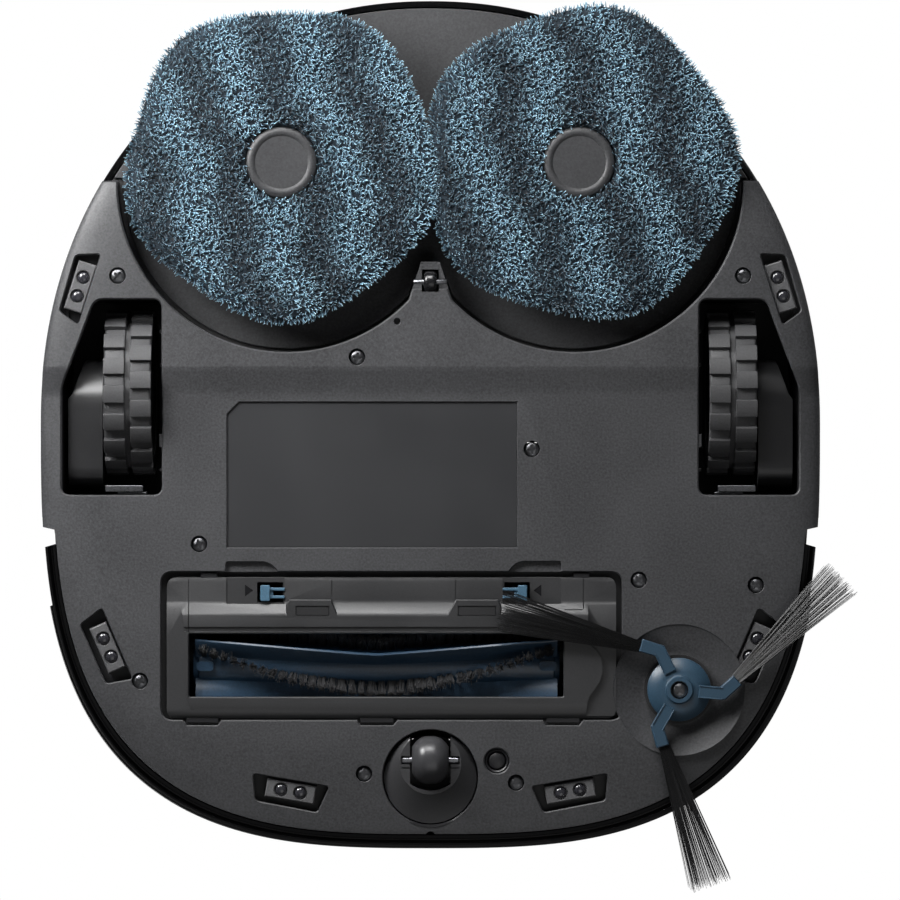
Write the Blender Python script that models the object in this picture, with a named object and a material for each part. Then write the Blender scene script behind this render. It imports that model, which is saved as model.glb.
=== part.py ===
"""Robot vacuum with two spinning mops, as an assembly of separate pieces.

Metres in the scene, +Z up, standing on z = 0. The front (bumper) faces -Y and the
robot's left side faces +X. Sizes below are in millimetres and are scaled by MM.
"""
import math

import bpy
from mathutils import Vector

for old in list(bpy.data.objects):
    bpy.data.objects.remove(old, do_unlink=True)

MM = 0.001
GAP = 0.3                       # clearance between pieces that touch

# The origin is the centre of the whole object's box, bristle tips included.
ORIGIN_X = 7.0
ORIGIN_Y = 8.8

# Body outline: a superellipse, squarer at the front than at the rear.
HALF_WIDTH = 164.0
HALF_LENGTH = 178.0
REAR_POWER = 2.12
FRONT_POWER = 3.0
HULL_SEGMENTS = 72
NOTCH_REAR = -40.0              # the body side steps in here for the bumper
NOTCH_FRONT = -46.0
BUMPER_END = -52.0

# Heights.
BASE_Z = 9.5
PLATE_TOP = 12.5
TRAY_TOP = 26.0
SKIRT_TOP = 88.0
PANEL_Z = 94.5
TOP_Z = 97.0

BASE_INSET = 1.0
FRONT_INSET = 6.3
SKIRT_FRONT_INSET = 10.0
WALL = 2.5

# Mops.
MOP_X = 62.05
MOP_Y = 108.8
PAD_RADIUS = 60.7
PAD_LOBE = 1.1
PAD_LOBES = 5
PAD_PHASE = {1: math.radians(52.0), -1: math.radians(33.0)}
PAD_Z = (0.4, 8.0)
MOP_PLATE_RADIUS = 57.0
MOP_CAP_RADIUS = 15.0
SPINDLE_RADIUS = 9.0
BAY_X = 60.0
BAY_Y = 100.5
BAY_RADIUS = 70.6
BAY_WALL = 2.8
BAY_CEILING = 23.5
WING_Y = 101.5
BAY_TAB = (9.0, 67.5)           # the idler's tab between the two bay circles
ROOM_TAB = (12.0, 53.0)

# Drive wheels.
WHEEL_X = 126.3
WHEEL_Y = 13.3
WHEEL_RADIUS = 35.0
WHEEL_WIDTH = 20.0
HUB_RADIUS = 26.0
AXLE_RADIUS = 3.7
ARM_PIVOT = (-20.0, 38.0)
ARM_X = (138.0, 149.5)
WELL_Y = (-29.8, 51.9)
WELL_X = (112.1, 154.2)

# Caster, idler roller and sensors.
SWIVEL_Y = -147.8
CASTER_TRAIL = 7.3
CASTER_RADIUS = 10.0
CASTER_HALF_WIDTH = 8.2
SOCKET_RADIUS = 20.0
IDLER_Y = 59.2
IDLER_RADIUS = 4.5
IDLER_SLOT = ((-3.2, 3.2), (53.5, 65.0))
CARPET_SENSOR = (-27.8, -140.9)
CARPET_SENSOR_RADIUS = 4.9
CLIFF_QUADS = {
    "rear": ((148.2, 70.4), (155.0, 47.0), (147.0, 41.2), (137.6, 70.8)),
    "side": ((137.2, -77.0), (124.4, -106.6), (135.6, -108.7), (146.4, -84.1)),
    "front": ((74.1, -146.3), (73.2, -157.6), (47.3, -162.6), (42.3, -151.7)),
}
SCREWS = (
    (130.5, 61.7), (-130.5, 61.7), (30.6, 27.8), (-42.4, -10.6), (96.6, -50.3),
    (-87.1, -65.3), (-136.0, -67.4), (121.3, -107.5), (27.7, -146.3), (-35.8, -150.1),
)
COUNTERBORE_RADIUS = 3.8
LABEL_X = (-36.2, 84.9)
LABEL_Y = (-51.7, 9.0)
LABEL_CORNER = 5.0

# Main brush and its cover.
BRUSH_WELL_X = (-80.0, 112.5)
BRUSH_WELL_Y = (-123.8, -61.9)
COVER_X = (-77.6, 110.1)
COVER_Z = (8.0, 12.2)
WINDOW_X = (-55.6, 100.8)
WINDOW_Y = (-114.1, -87.8)
BRUSH_Y = -101.0
BRUSH_Z = 24.5
BRUSH_X = (-54.6, 99.8)
CORE_RADIUS = 10.5
FIN_RADIUS = 17.5
CHEVRON_TURN = math.radians(75)
LATCH_Y = (-75.3, -64.0)

# Side brush.
SIDE_X = -103.8
SIDE_Y = -111.0
SIDE_HUB_RADIUS = 13.2
BUNDLE_HEADINGS = tuple(math.radians(a) for a in (23.9, 145.3, 260.8))

# Top side.
LIDAR_Y = 45.0
LIDAR_RADIUS = 40.0
LIDAR_TOP = 113.8
POST_RADIUS = 3.2
BIN_X = 60.0
BIN_Y = (-95.0, -8.0)
BUTTON_X = 15.0
BUTTON_Y = -135.0
BUTTON_RADIUS = 7.0
CONTACT_X = 12.0

robot = bpy.data.objects.new("robot", None)
robot.location = (ORIGIN_X * MM, ORIGIN_Y * MM, 0.0)
bpy.context.collection.objects.link(robot)


def material(name, color, roughness, metallic=0.0):
    """A Principled material."""
    made = bpy.data.materials.new(name)
    made.use_nodes = True
    shader = made.node_tree.nodes["Principled BSDF"]
    shader.inputs["Base Color"].default_value = (*color, 1.0)
    shader.inputs["Roughness"].default_value = roughness
    shader.inputs["Metallic"].default_value = metallic
    return made


CHARCOAL = material("charcoal_plastic", (0.045, 0.046, 0.050), 0.55)
BLACK = material("black_plastic", (0.012, 0.012, 0.014), 0.35)
BLUE = material("blue_plastic", (0.045, 0.105, 0.155), 0.45)
RUBBER = material("black_rubber", (0.030, 0.030, 0.032), 0.75)
PILE = material("blue_microfibre", (0.090, 0.190, 0.270), 0.95)
STEEL = material("dark_steel", (0.250, 0.250, 0.260), 0.35, 0.9)
LENS = material("sensor_window", (0.010, 0.010, 0.012), 0.10)
GREY = material("grey_plastic", (0.180, 0.185, 0.190), 0.50)


# --- shapes, each a list of vertices and a list of faces -------------------

def prism(outline, low, high, along="z"):
    """A closed extrusion of an outline, along Z, or along X from a (y, z) outline."""
    count = len(outline)
    points = [(u, v, low) for u, v in outline] + [(u, v, high) for u, v in outline]
    if along == "x":
        points = [(w, u, v) for u, v, w in points]
    faces = [tuple(reversed(range(count))), tuple(range(count, 2 * count))]
    for i in range(count):
        j = (i + 1) % count
        faces.append((i, j, count + j, count + i))
    return points, faces


def block(x, y, z):
    """A box from its (low, high) ranges."""
    return prism(((x[0], y[0]), (x[1], y[0]), (x[1], y[1]), (x[0], y[1])), z[0], z[1])


def circle(centre, radius, count=32, start=0.0):
    """Points of a circle, counter-clockwise."""
    turn = 2 * math.pi / count
    return [(centre[0] + radius * math.cos(start + i * turn),
             centre[1] + radius * math.sin(start + i * turn)) for i in range(count)]


def turned(profile, centre, count=32, along="z"):
    """A solid of revolution from a closed (radius, height) loop; radius 0 meets the axis."""
    points, rings = [], []
    for radius, height in profile:
        if radius < 1e-6:
            rings.append([len(points)])
            points.append((centre[0], centre[1], height))
            continue
        rings.append(list(range(len(points), len(points) + count)))
        points += [(u, v, height) for u, v in circle(centre, radius, count)]
    faces = []
    pairs = list(zip(rings, rings[1:] + rings[:1]))
    for lower, upper in pairs:
        for i in range(count):
            j = (i + 1) % count
            if len(lower) == 1 and len(upper) == 1:
                break
            if len(lower) == 1:
                faces.append((lower[0], upper[j], upper[i]))
            elif len(upper) == 1:
                faces.append((lower[i], lower[j], upper[0]))
            else:
                faces.append((lower[i], lower[j], upper[j], upper[i]))
    if along == "x":
        points = [(w, u, v) for u, v, w in points]
    return points, faces


def swept(profile, station, steps):
    """A closed (inset, z) profile carried along the body outline, with flat ends."""
    count = len(profile)
    points = []
    for step in range(steps + 1):
        for inset, z in profile:
            x, y = station(step / steps, inset)
            points.append((x, y, z))
    faces = [tuple(reversed(range(count))), tuple(range(steps * count, (steps + 1) * count))]
    for step in range(steps):
        here, there = step * count, (step + 1) * count
        for i in range(count):
            j = (i + 1) % count
            faces.append((here + i, here + j, there + j, there + i))
    return points, faces


def ring(outer, inner, low, high):
    """A closed band between two outlines with the same number of points."""
    count = len(outer)
    points = [(x, y, z) for z in (low, high) for x, y in list(outer) + list(inner)]
    faces = []
    for i in range(count):
        j = (i + 1) % count
        top = 2 * count
        faces.append((i, j, top + j, top + i))
        faces.append((count + j, count + i, top + count + i, top + count + j))
        faces.append((j, i, count + i, count + j))
        faces.append((top + i, top + j, top + count + j, top + count + i))
    return points, faces


def band(left, right, low, high):
    """A closed upright wall between two open lines with the same number of points."""
    count = len(left)
    points = [(x, y, z) for z in (low, high) for x, y in list(left) + list(right)]
    top = 2 * count
    faces = [(count, 0, top, top + count), (count - 1, top - 1, 2 * top - 1, top + count - 1)]
    for i in range(count - 1):
        j = i + 1
        faces.append((count + i, count + j, j, i))
        faces.append((top + i, top + j, top + count + j, top + count + i))
        faces.append((i, j, top + j, top + i))
        faces.append((count + j, count + i, top + count + i, top + count + j))
    return points, faces


def capsule(first, first_radius, second, second_radius, count=12):
    """The outline round two circles, counter-clockwise."""
    dx, dy = second[0] - first[0], second[1] - first[1]
    span = math.hypot(dx, dy)
    heading = math.atan2(dy, dx)
    lean = math.acos((first_radius - second_radius) / span)
    outline = []
    for i in range(count + 1):
        angle = heading - lean + 2 * lean * i / count
        outline.append((second[0] + second_radius * math.cos(angle),
                        second[1] + second_radius * math.sin(angle)))
    for i in range(count + 1):
        angle = heading + lean + (2 * math.pi - 2 * lean) * i / count
        outline.append((first[0] + first_radius * math.cos(angle),
                        first[1] + first_radius * math.sin(angle)))
    return outline


def joined(shapes):
    """Several shapes as one list of vertices and faces."""
    points, faces = [], []
    for shape_points, shape_faces in shapes:
        offset = len(points)
        points += shape_points
        faces += [tuple(offset + i for i in face) for face in shape_faces]
    return points, faces


# --- objects ---------------------------------------------------------------

def make(name, shape, finish, at=(0.0, 0.0, 0.0), smooth=True):
    """An object from a shape in body coordinates, with its origin at one point."""
    points, faces = shape
    mesh = bpy.data.meshes.new(name)
    mesh.from_pydata([[(p - q) * MM for p, q in zip(point, at)] for point in points], [], faces)
    mesh.materials.append(finish)
    if smooth:
        mesh.shade_smooth()
        mesh.set_sharp_from_angle(angle=math.radians(35))
    made = bpy.data.objects.new(name, mesh)
    made.location = Vector(at) * MM
    made.parent = robot
    bpy.context.collection.objects.link(made)
    return made


def combine(target, name, shapes, operation="DIFFERENCE"):
    """A Boolean with a hidden helper made of shapes that don't meet each other."""
    helper = make(name, joined(shapes), BLACK, smooth=False)
    helper.display_type = "WIRE"
    helper.hide_render = True
    step = target.modifiers.new(name, "BOOLEAN")
    step.operation = operation
    step.solver = "EXACT"
    step.object = helper
    return target


def soften(target, width):
    """A small bevel on the sharp edges."""
    bevel = target.modifiers.new("soften", "BEVEL")
    bevel.width = width * MM
    bevel.segments = 1
    bevel.limit_method = "ANGLE"
    bevel.angle_limit = math.radians(50)


# --- outlines --------------------------------------------------------------

def superellipse(angle, inset):
    """A point of the body outline, inset by a distance."""
    c, s = math.cos(angle), math.sin(angle)
    power = REAR_POWER if s >= 0 else FRONT_POWER
    x = math.copysign(abs(c) ** (2 / power), c) * (HALF_WIDTH - inset)
    y = math.copysign(abs(s) ** (2 / power), s) * (HALF_LENGTH - inset)
    return x, y


def half_width(y, inset):
    """The body's half width at a place along its length."""
    power = REAR_POWER if y >= 0 else FRONT_POWER
    share = 1 - (abs(y) / (HALF_LENGTH - inset)) ** power
    return (HALF_WIDTH - inset) * share ** (1 / power)


def notched_hull(rear_inset, front_inset):
    """The body outline, stepped in at the front where the bumper wraps it."""
    rear, front = [], []
    for i in range(HULL_SEGMENTS):
        angle = 2 * math.pi * i / HULL_SEGMENTS
        depth = superellipse(angle, 0.0)[1]
        if depth > NOTCH_REAR + 3:
            rear.append((i, superellipse(angle, rear_inset)))
        elif depth < NOTCH_FRONT - 3:
            front.append(superellipse(angle, front_inset))
    half = HULL_SEGMENTS // 2
    outline = [p for i, p in rear if i <= half]
    start = [p for i, p in rear if i > half and p[0] < 0]
    end = [p for i, p in rear if i > half and p[0] > 0]
    outline += start
    outline.append((-half_width(NOTCH_REAR, rear_inset), NOTCH_REAR))
    outline.append((-half_width(NOTCH_FRONT, front_inset), NOTCH_FRONT))
    outline += front
    outline.append((half_width(NOTCH_FRONT, front_inset), NOTCH_FRONT))
    outline.append((half_width(NOTCH_REAR, rear_inset), NOTCH_REAR))
    return outline + end


def bay_front(radius, edge_y, tab):
    """The front edge of the mop bay, from -X to +X: arc, idler tab, arc."""
    reach = math.sqrt(radius ** 2 - (edge_y - BAY_Y) ** 2)
    edge_angle = math.atan2(edge_y - BAY_Y, reach)
    drop = math.sqrt(radius ** 2 - (BAY_X - tab[0]) ** 2)
    tab_angle = math.atan2(-drop, tab[0] - BAY_X)
    arc = []
    steps = 22
    for i in range(steps + 1):
        angle = tab_angle + (edge_angle - tab_angle) * i / steps
        arc.append((BAY_X + radius * math.cos(angle), BAY_Y + radius * math.sin(angle)))
    mirrored = [(-x, y) for x, y in reversed(arc)]
    return mirrored + [(-tab[0] + 1.5, tab[1]), (tab[0] - 1.5, tab[1])] + arc


def front_station(share, inset):
    """A point along the bumper, from the robot's left to its right side."""
    reach = math.asin((abs(BUMPER_END) / HALF_LENGTH) ** (FRONT_POWER / 2))
    angle = -reach - (math.pi - 2 * reach) * share
    return superellipse(angle, inset)


# --- chassis ---------------------------------------------------------------

def wheel_well(side):
    """The wheel opening in the base plate."""
    outline = [(WELL_X[0], WELL_Y[0]), (WELL_X[1], WELL_Y[0]), (WELL_X[1], 15.0),
               (145.9, 36.2), (144.0, 43.0), (140.2, WELL_Y[1]), (WELL_X[0], WELL_Y[1])]
    return [(side * x, y) for x, y in (outline if side > 0 else reversed(outline))]


def cliff_quads():
    """Each cliff sensor's name and outline."""
    for place, corners in CLIFF_QUADS.items():
        for side, word in ((1, "left"), (-1, "right")):
            quad = [(side * x, y) for x, y in (corners if side > 0 else reversed(corners))]
            area = sum(a[0] * b[1] - b[0] * a[1] for a, b in zip(quad, quad[1:] + quad[:1]))
            yield f"cliff_sensor_{place}_{word}", quad if area > 0 else quad[::-1]


def shrunk(outline, amount):
    """A small outline moved in towards its middle."""
    mid_x = sum(x for x, _ in outline) / len(outline)
    mid_y = sum(y for _, y in outline) / len(outline)
    reach = min(math.hypot(x - mid_x, y - mid_y) for x, y in outline)
    scale = 1 - amount / reach
    return [(mid_x + (x - mid_x) * scale, mid_y + (y - mid_y) * scale) for x, y in outline]


def base_plate():
    """Lower chassis plate, open at the mop bay, with its wells and sensor recesses."""
    plate = make("base_plate", prism(notched_hull(BASE_INSET, FRONT_INSET), BASE_Z, PLATE_TOP),
                 CHARCOAL)
    below, above = BASE_Z - 2, PLATE_TOP + 2
    bay = [(200.0, WING_Y), (200.0, 200.0), (-200.0, 200.0), (-200.0, WING_Y)]
    bay += bay_front(BAY_RADIUS, WING_Y, BAY_TAB)
    combine(plate, "bay_cut", [prism(bay, below, above)])
    cuts = [prism(wheel_well(side), below, above) for side in (1, -1)]
    cuts.append(block(BRUSH_WELL_X, BRUSH_WELL_Y, (below, above)))
    cuts.append(prism(circle((0, SWIVEL_Y), SOCKET_RADIUS + GAP, 40), below, above))
    cuts.append(prism(circle(CARPET_SENSOR, CARPET_SENSOR_RADIUS + GAP, 20), below, above))
    cuts.append(prism(circle((SIDE_X, SIDE_Y), 6.0, 20), below, above))
    cuts += [prism(quad, below, above) for _, quad in cliff_quads()]
    cuts.append(block(*IDLER_SLOT, (below, above)))
    combine(plate, "through_cuts", cuts)
    label = [(LABEL_X[0], LABEL_Y[0]), (LABEL_X[1], LABEL_Y[0]),
             (LABEL_X[1], LABEL_Y[1] - LABEL_CORNER), (LABEL_X[1] - LABEL_CORNER, LABEL_Y[1]),
             (LABEL_X[0], LABEL_Y[1])]
    shallow = [prism(label, below, BASE_Z + 0.8)]
    shallow.append(prism(circle((SIDE_X, SIDE_Y), 27.0, 40), below, BASE_Z + 1.2))
    shallow += [prism(circle(place, COUNTERBORE_RADIUS, 12), below, BASE_Z + 1.2)
                for place in SCREWS]
    shallow.append(block((-7.4, -3.0), (57.6, 60.8), (below, 10.8)))
    shallow.append(block((3.0, 7.4), (57.6, 60.8), (below, 10.8)))
    combine(plate, "shallow_cuts", shallow)


def tray():
    """The rim that stands on the plate, and the wall and ceiling of the mop bay."""
    wall_y = WING_Y - BAY_WALL
    low = PLATE_TOP + GAP
    rim = make("tray_rim", ring(notched_hull(BASE_INSET, SKIRT_FRONT_INSET - 0.7),
                                notched_hull(BASE_INSET + 3, SKIRT_FRONT_INSET + 3), low,
                                TRAY_TOP), CHARCOAL)
    combine(rim, "rim_rear", [block((-200.0, 200.0), (wall_y - GAP, 200.0), (low - 2, 30.0))])
    combine(rim, "rim_socket", [prism(circle((0, SWIVEL_Y), SOCKET_RADIUS, 40), low - 2, 30.0)])
    inner = bay_front(BAY_RADIUS, WING_Y, BAY_TAB)
    outer = bay_front(BAY_RADIUS + BAY_WALL, wall_y, ROOM_TAB)
    at_wing, at_wall = half_width(WING_Y, BASE_INSET), half_width(wall_y, BASE_INSET)
    room_side = [(-at_wall, wall_y)] + outer + [(at_wall, wall_y)]
    bay_side = [(-at_wing, WING_Y)] + inner + [(at_wing, WING_Y)]
    wall = make("mop_bay_wall", band(room_side, bay_side, low, BAY_CEILING - GAP), CHARCOAL)
    combine(wall, "idler_room", [block(*IDLER_SLOT, (low - 2, 16.0))])
    rear = [superellipse(2 * math.pi * i / HULL_SEGMENTS, BASE_INSET)
            for i in range(HULL_SEGMENTS)]
    rear = [p for p in rear if p[1] > wall_y + 1]
    outline = [(at_wall, wall_y)] + rear + room_side[:-1]
    ceiling = make("mop_bay_ceiling", prism(outline, BAY_CEILING, TRAY_TOP), CHARCOAL)
    combine(ceiling, "spindle_holes", [prism(circle((side * MOP_X, MOP_Y), 14.0, 24),
                                             BAY_CEILING - 2, TRAY_TOP + 2) for side in (1, -1)])


def skirt():
    """The body's side wall, behind the bumper at the front."""
    outer = notched_hull(0.0, SKIRT_FRONT_INSET)
    inner = notched_hull(WALL, SKIRT_FRONT_INSET + WALL)
    wall = make("body_skirt", ring(outer, inner, TRAY_TOP + GAP, SKIRT_TOP), CHARCOAL)
    pocket_y = HALF_LENGTH - 1.8
    pockets = [block((side * CONTACT_X - 6.0, side * CONTACT_X + 6.0),
                     (pocket_y, HALF_LENGTH + 5), (38, 48)) for side in (1, -1)]
    combine(wall, "contact_pockets", pockets)
    for side, word in ((1, "left"), (-1, "right")):
        across = (side * CONTACT_X - 5.5, side * CONTACT_X + 5.5)
        outward = (pocket_y + GAP, half_depth(CONTACT_X + 5.5))
        make(f"charging_contact_{word}", block(across, outward, (38.5, 47.5)), STEEL)


def half_depth(x):
    """How far back the body's rear reaches at a place across it."""
    return HALF_LENGTH * (1 - (abs(x) / HALF_WIDTH) ** REAR_POWER) ** (1 / REAR_POWER)


def top_panel():
    """The top shell, open for the dustbin, lidar and buttons."""
    panel = make("top_panel", prism([superellipse(2 * math.pi * i / HULL_SEGMENTS, 0.5)
                                     for i in range(HULL_SEGMENTS)], SKIRT_TOP + GAP, TOP_Z),
                 CHARCOAL)
    inner = [superellipse(2 * math.pi * i / HULL_SEGMENTS, 0.5 + WALL)
             for i in range(HULL_SEGMENTS)]
    combine(panel, "panel_room", [prism(inner, SKIRT_TOP - 2, PANEL_Z)])
    holes = [block((-BIN_X - GAP, BIN_X + GAP), (BIN_Y[0] - GAP, BIN_Y[1] + GAP), (90, 99))]
    holes.append(prism(circle((0, LIDAR_Y), LIDAR_RADIUS + 1, 40), 90, 99))
    holes += [prism(circle((side * BUTTON_X, BUTTON_Y), BUTTON_RADIUS + GAP, 24), 90, 99)
              for side in (1, -1)]
    combine(panel, "panel_holes", holes)


def wheel_housing(side, word):
    """The closed box over one drive wheel, open underneath and clear of the mop bay."""
    low, high = PLATE_TOP + GAP, 74.5
    outer = [(110.5, -31.5), (155.5, -31.5), (155.5, 16.0), (152.5, 53.5), (110.5, 53.5)]
    inner = [(112.0, -30.0), (154.0, -30.0), (154.0, 16.0), (151.0, 52.0), (112.0, 52.0)]
    if side < 0:
        outer = [(-x, y) for x, y in reversed(outer)]
        inner = [(-x, y) for x, y in reversed(inner)]
    shell = make(f"wheel_housing_{word}", prism(outer, low, high), BLACK)
    combine(shell, f"wheel_room_{word}", [prism(inner, low - 2, high - 1.5)])
    bay = circle((side * BAY_X, BAY_Y), BAY_RADIUS + BAY_WALL + GAP, 48)
    combine(shell, f"bay_clearance_{word}", [prism(bay, low - 2, TRAY_TOP + GAP)])


def brush_chamber():
    """The tunnel that the main brush turns in."""
    shell = make("brush_chamber", block((-75.0, 108.0), (-122.0, -79.0),
                                        (PLATE_TOP + GAP, 48.0)), BLACK)
    room = prism(circle((BRUSH_Y, BRUSH_Z), 19.5, 28), -58.0, 103.0, along="x")
    combine(shell, "brush_room", [room])
    throat = block((-58.0, 103.0), (BRUSH_Y - 14.5, BRUSH_Y + 14.5), (PLATE_TOP - 2, BRUSH_Z))
    combine(shell, "brush_throat", [throat])


def inner_parts():
    """Battery, side brush motor, fan and water tank."""
    battery = make("battery_pack", block((-36.0, 85.0), (-50.0, 8.0), (14.0, 36.0)), BLACK)
    soften(battery, 2.0)
    make("side_brush_motor", turned(((0, 9.8), (3.5, 9.8), (3.5, 13.0), (14, 13.0), (14, 40.0),
                                     (0, 40.0)), (SIDE_X, SIDE_Y), 20), BLACK)
    centre = (-108.0, -62.0)
    make("fan_housing", turned(((0, 45), (24, 45), (24, 70), (22, 70), (22, 47), (0, 47)),
                               centre, 24), BLACK)
    blades = []
    for i in range(16):
        angle = 2 * math.pi * i / 16
        reach = 19.0 if i % 2 else 8.0
        blades.append((centre[0] + reach * math.cos(angle), centre[1] + reach * math.sin(angle)))
    make("fan_impeller", prism(blades, 49.0, 66.0), GREY, at=(*centre, 0.0))
    tank = [(-100.0, 92.0), (100.0, 92.0), (100.0, 118.0), (58.0, 158.0), (-58.0, 158.0),
            (-100.0, 118.0)]
    make("water_tank", prism(tank, 62.0, 84.0), GREY)


def sensors():
    """Cliff sensors and the round carpet sensor."""
    for name, quad in cliff_quads():
        make(name, prism(shrunk(quad, 1.0), BASE_Z + 1.0, PLATE_TOP), BLACK)
    make("carpet_sensor", turned(((0, BASE_Z + 0.4), (CARPET_SENSOR_RADIUS, BASE_Z + 0.4),
                                  (CARPET_SENSOR_RADIUS, 20.0), (0, 20.0)), CARPET_SENSOR, 20),
         BLACK)


# --- bumper ----------------------------------------------------------------

def bumper():
    """The front bumper that slides in when it hits something."""
    wall = ((1.3, 13.0), (1.3, SKIRT_TOP), (3.8, SKIRT_TOP), (3.8, 15.0), (6.0, 15.0),
            (6.0, 13.0))
    shell = make("bumper_shell", swept(wall, front_station, 32), CHARCOAL)
    window = block((-30.5, 30.5), (-190.0, -165.0), (49.7, 72.3))
    combine(shell, "window_cut", [window])
    strip = ((0.0, 17.0), (0.0, 30.0), (1.0, 30.0), (1.0, 17.0))
    make("bumper_strip", swept(strip, strip_station, 28), BLACK)
    pane = ((1.3, 50.0), (1.3, 72.0), (3.8, 72.0), (3.8, 50.0))
    make("sensor_window", swept(pane, window_station, 6), LENS)


def strip_station(share, inset):
    """A point along the bumper's rubber strip, which stops short of its ends."""
    return front_station(0.045 + 0.91 * share, inset)


def window_station(share, inset):
    """A point along the sensor window at the middle of the bumper."""
    x = 30.0 - 60.0 * share
    reach = 1 - (abs(x) / (HALF_WIDTH - inset)) ** FRONT_POWER
    return x, -(HALF_LENGTH - inset) * reach ** (1 / FRONT_POWER)


# --- drive wheels ----------------------------------------------------------

def drive_wheel(side, word):
    """Swing arm with its axle, wheel hub and tyre."""
    pivot = (side * sum(ARM_X) / 2, *ARM_PIVOT)
    x = sorted(side * value for value in ARM_X)
    plate = prism(capsule(ARM_PIVOT, 9.0, (WHEEL_Y, WHEEL_RADIUS), 16.0), *x, along="x")
    arm = make(f"wheel_arm_{word}", plate, BLACK, at=pivot)
    reach = sorted((side * (WHEEL_X - 8.0), side * (ARM_X[0] + 2.0)))
    axle = prism(circle((WHEEL_Y, WHEEL_RADIUS), AXLE_RADIUS, 16), *reach, along="x")
    combine(arm, f"axle_{word}", [axle], "UNION")
    hub_x = sorted((side * (WHEEL_X - 9.3), side * (WHEEL_X + 9.3)))
    centre = (WHEEL_Y, WHEEL_RADIUS)
    spot = (side * WHEEL_X, *centre)
    bore = AXLE_RADIUS + GAP
    make(f"wheel_hub_{word}",
         turned(((bore, hub_x[0]), (HUB_RADIUS, hub_x[0]), (HUB_RADIUS, hub_x[1]),
                 (bore, hub_x[1])), centre, 32, along="x"), BLACK, at=spot)
    inner = HUB_RADIUS + GAP
    half = WHEEL_WIDTH / 2
    middle = side * WHEEL_X
    tread = ((inner, middle - half), (WHEEL_RADIUS - 1, middle - half),
             (WHEEL_RADIUS, middle - half + 1), (WHEEL_RADIUS, middle - 1),
             (WHEEL_RADIUS - 2, middle - 0.6), (WHEEL_RADIUS - 2, middle + 0.6),
             (WHEEL_RADIUS, middle + 1), (WHEEL_RADIUS, middle + half - 1),
             (WHEEL_RADIUS - 1, middle + half), (inner, middle + half))
    make(f"tyre_{word}", turned(tread, centre, 36, along="x"), RUBBER, at=spot)


# --- caster and idler ------------------------------------------------------

def caster():
    """Swivel fork, barrel wheel and axle pin."""
    centre = (0.0, SWIVEL_Y)
    fork = make("caster_fork", turned(((0, 8.0), (18.0, 8.0), (SOCKET_RADIUS - GAP, 9.6),
                                       (SOCKET_RADIUS - GAP, 13.5), (16.5, 24.0), (5.0, 24.0),
                                       (5.0, 42.0), (0, 42.0)), centre, 36), BLACK,
                at=(*centre, 0.0))
    wheel_y = SWIVEL_Y + CASTER_TRAIL
    pocket = block((-8.8, 8.8), (wheel_y - 10.8, wheel_y + 20.0), (6.0, 21.5))
    combine(fork, "wheel_pocket", [pocket])
    groove = block((-13.3, 13.3), (wheel_y - 1.8, wheel_y + 1.8), (6.0, 11.8))
    combine(fork, "pin_groove", [groove])
    spot = (0.0, wheel_y, CASTER_RADIUS)
    half = CASTER_HALF_WIDTH
    barrel = ((1.8, -half), (8.0, -half), (9.3, -half * 0.6), (CASTER_RADIUS, 0),
              (9.3, half * 0.6), (8.0, half), (1.8, half))
    make("caster_wheel", turned(barrel, (wheel_y, CASTER_RADIUS), 28, along="x"), RUBBER, at=spot)
    make("caster_axle", turned(((0, -13), (1.5, -13), (1.5, 13), (0, 13)),
                               (wheel_y, CASTER_RADIUS), 12, along="x"), STEEL, at=spot)
    roller = ((0, -7), (1.2, -7), (1.2, -2.6), (IDLER_RADIUS, -2.6), (IDLER_RADIUS, 2.6),
              (1.2, 2.6), (1.2, 7), (0, 7))
    make("idler_roller", turned(roller, (IDLER_Y, 9.2), 20, along="x"), BLACK,
         at=(0.0, IDLER_Y, 9.2))


# --- main brush ------------------------------------------------------------

def main_brush():
    """The chevron brush: two soft fins and two bristle rows round a core."""
    reach = []
    per_turn = 32
    for i in range(per_turn):
        place = i % (per_turn // 2)
        if place in (0, 1):
            reach.append(15.5)
        elif place in (8, 9):
            reach.append(FIN_RADIUS)
        else:
            reach.append(CORE_RADIUS)
    points, faces = [], []
    stations = 12
    for s in range(stations + 1):
        share = s / stations
        x = BRUSH_X[0] + (BRUSH_X[1] - BRUSH_X[0]) * share
        turn = CHEVRON_TURN * abs(2 * share - 1)
        for i, radius in enumerate(reach):
            angle = 2 * math.pi * i / per_turn + turn
            points.append((x, BRUSH_Y + radius * math.cos(angle),
                           BRUSH_Z + radius * math.sin(angle)))
    faces.append(tuple(reversed(range(per_turn))))
    faces.append(tuple(range(stations * per_turn, (stations + 1) * per_turn)))
    for s in range(stations):
        for i in range(per_turn):
            j = (i + 1) % per_turn
            a, b = s * per_turn, (s + 1) * per_turn
            faces.append((a + i, a + j, b + j, b + i))
    make("main_brush", (points, faces), BLUE, at=(sum(BRUSH_X) / 2, BRUSH_Y, BRUSH_Z))


def brush_cover():
    """The clip-on frame round the brush opening, with its two latches."""
    cover = make("brush_cover", block(COVER_X, (BRUSH_WELL_Y[0] + 0.6, BRUSH_WELL_Y[1] - 0.6),
                                      COVER_Z), CHARCOAL)
    cuts = [block(WINDOW_X, WINDOW_Y, (5, 15))]
    for x in ((60.3, 85.3), (-54.6, -29.6)):
        cuts.append(block(x, LATCH_Y, (5, 15)))
    combine(cover, "cover_cuts", cuts)
    for x, word in (((64.0, 71.0), "left"), ((-40.3, -33.3), "right")):
        latch = make(f"brush_latch_{word}", block(x, (-74.5, -67.0), (8.4, 13.5)), BLUE,
                     at=(sum(x) / 2, -70.0, 11.0))
        soften(latch, 0.6)


# --- side brush ------------------------------------------------------------

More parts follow.
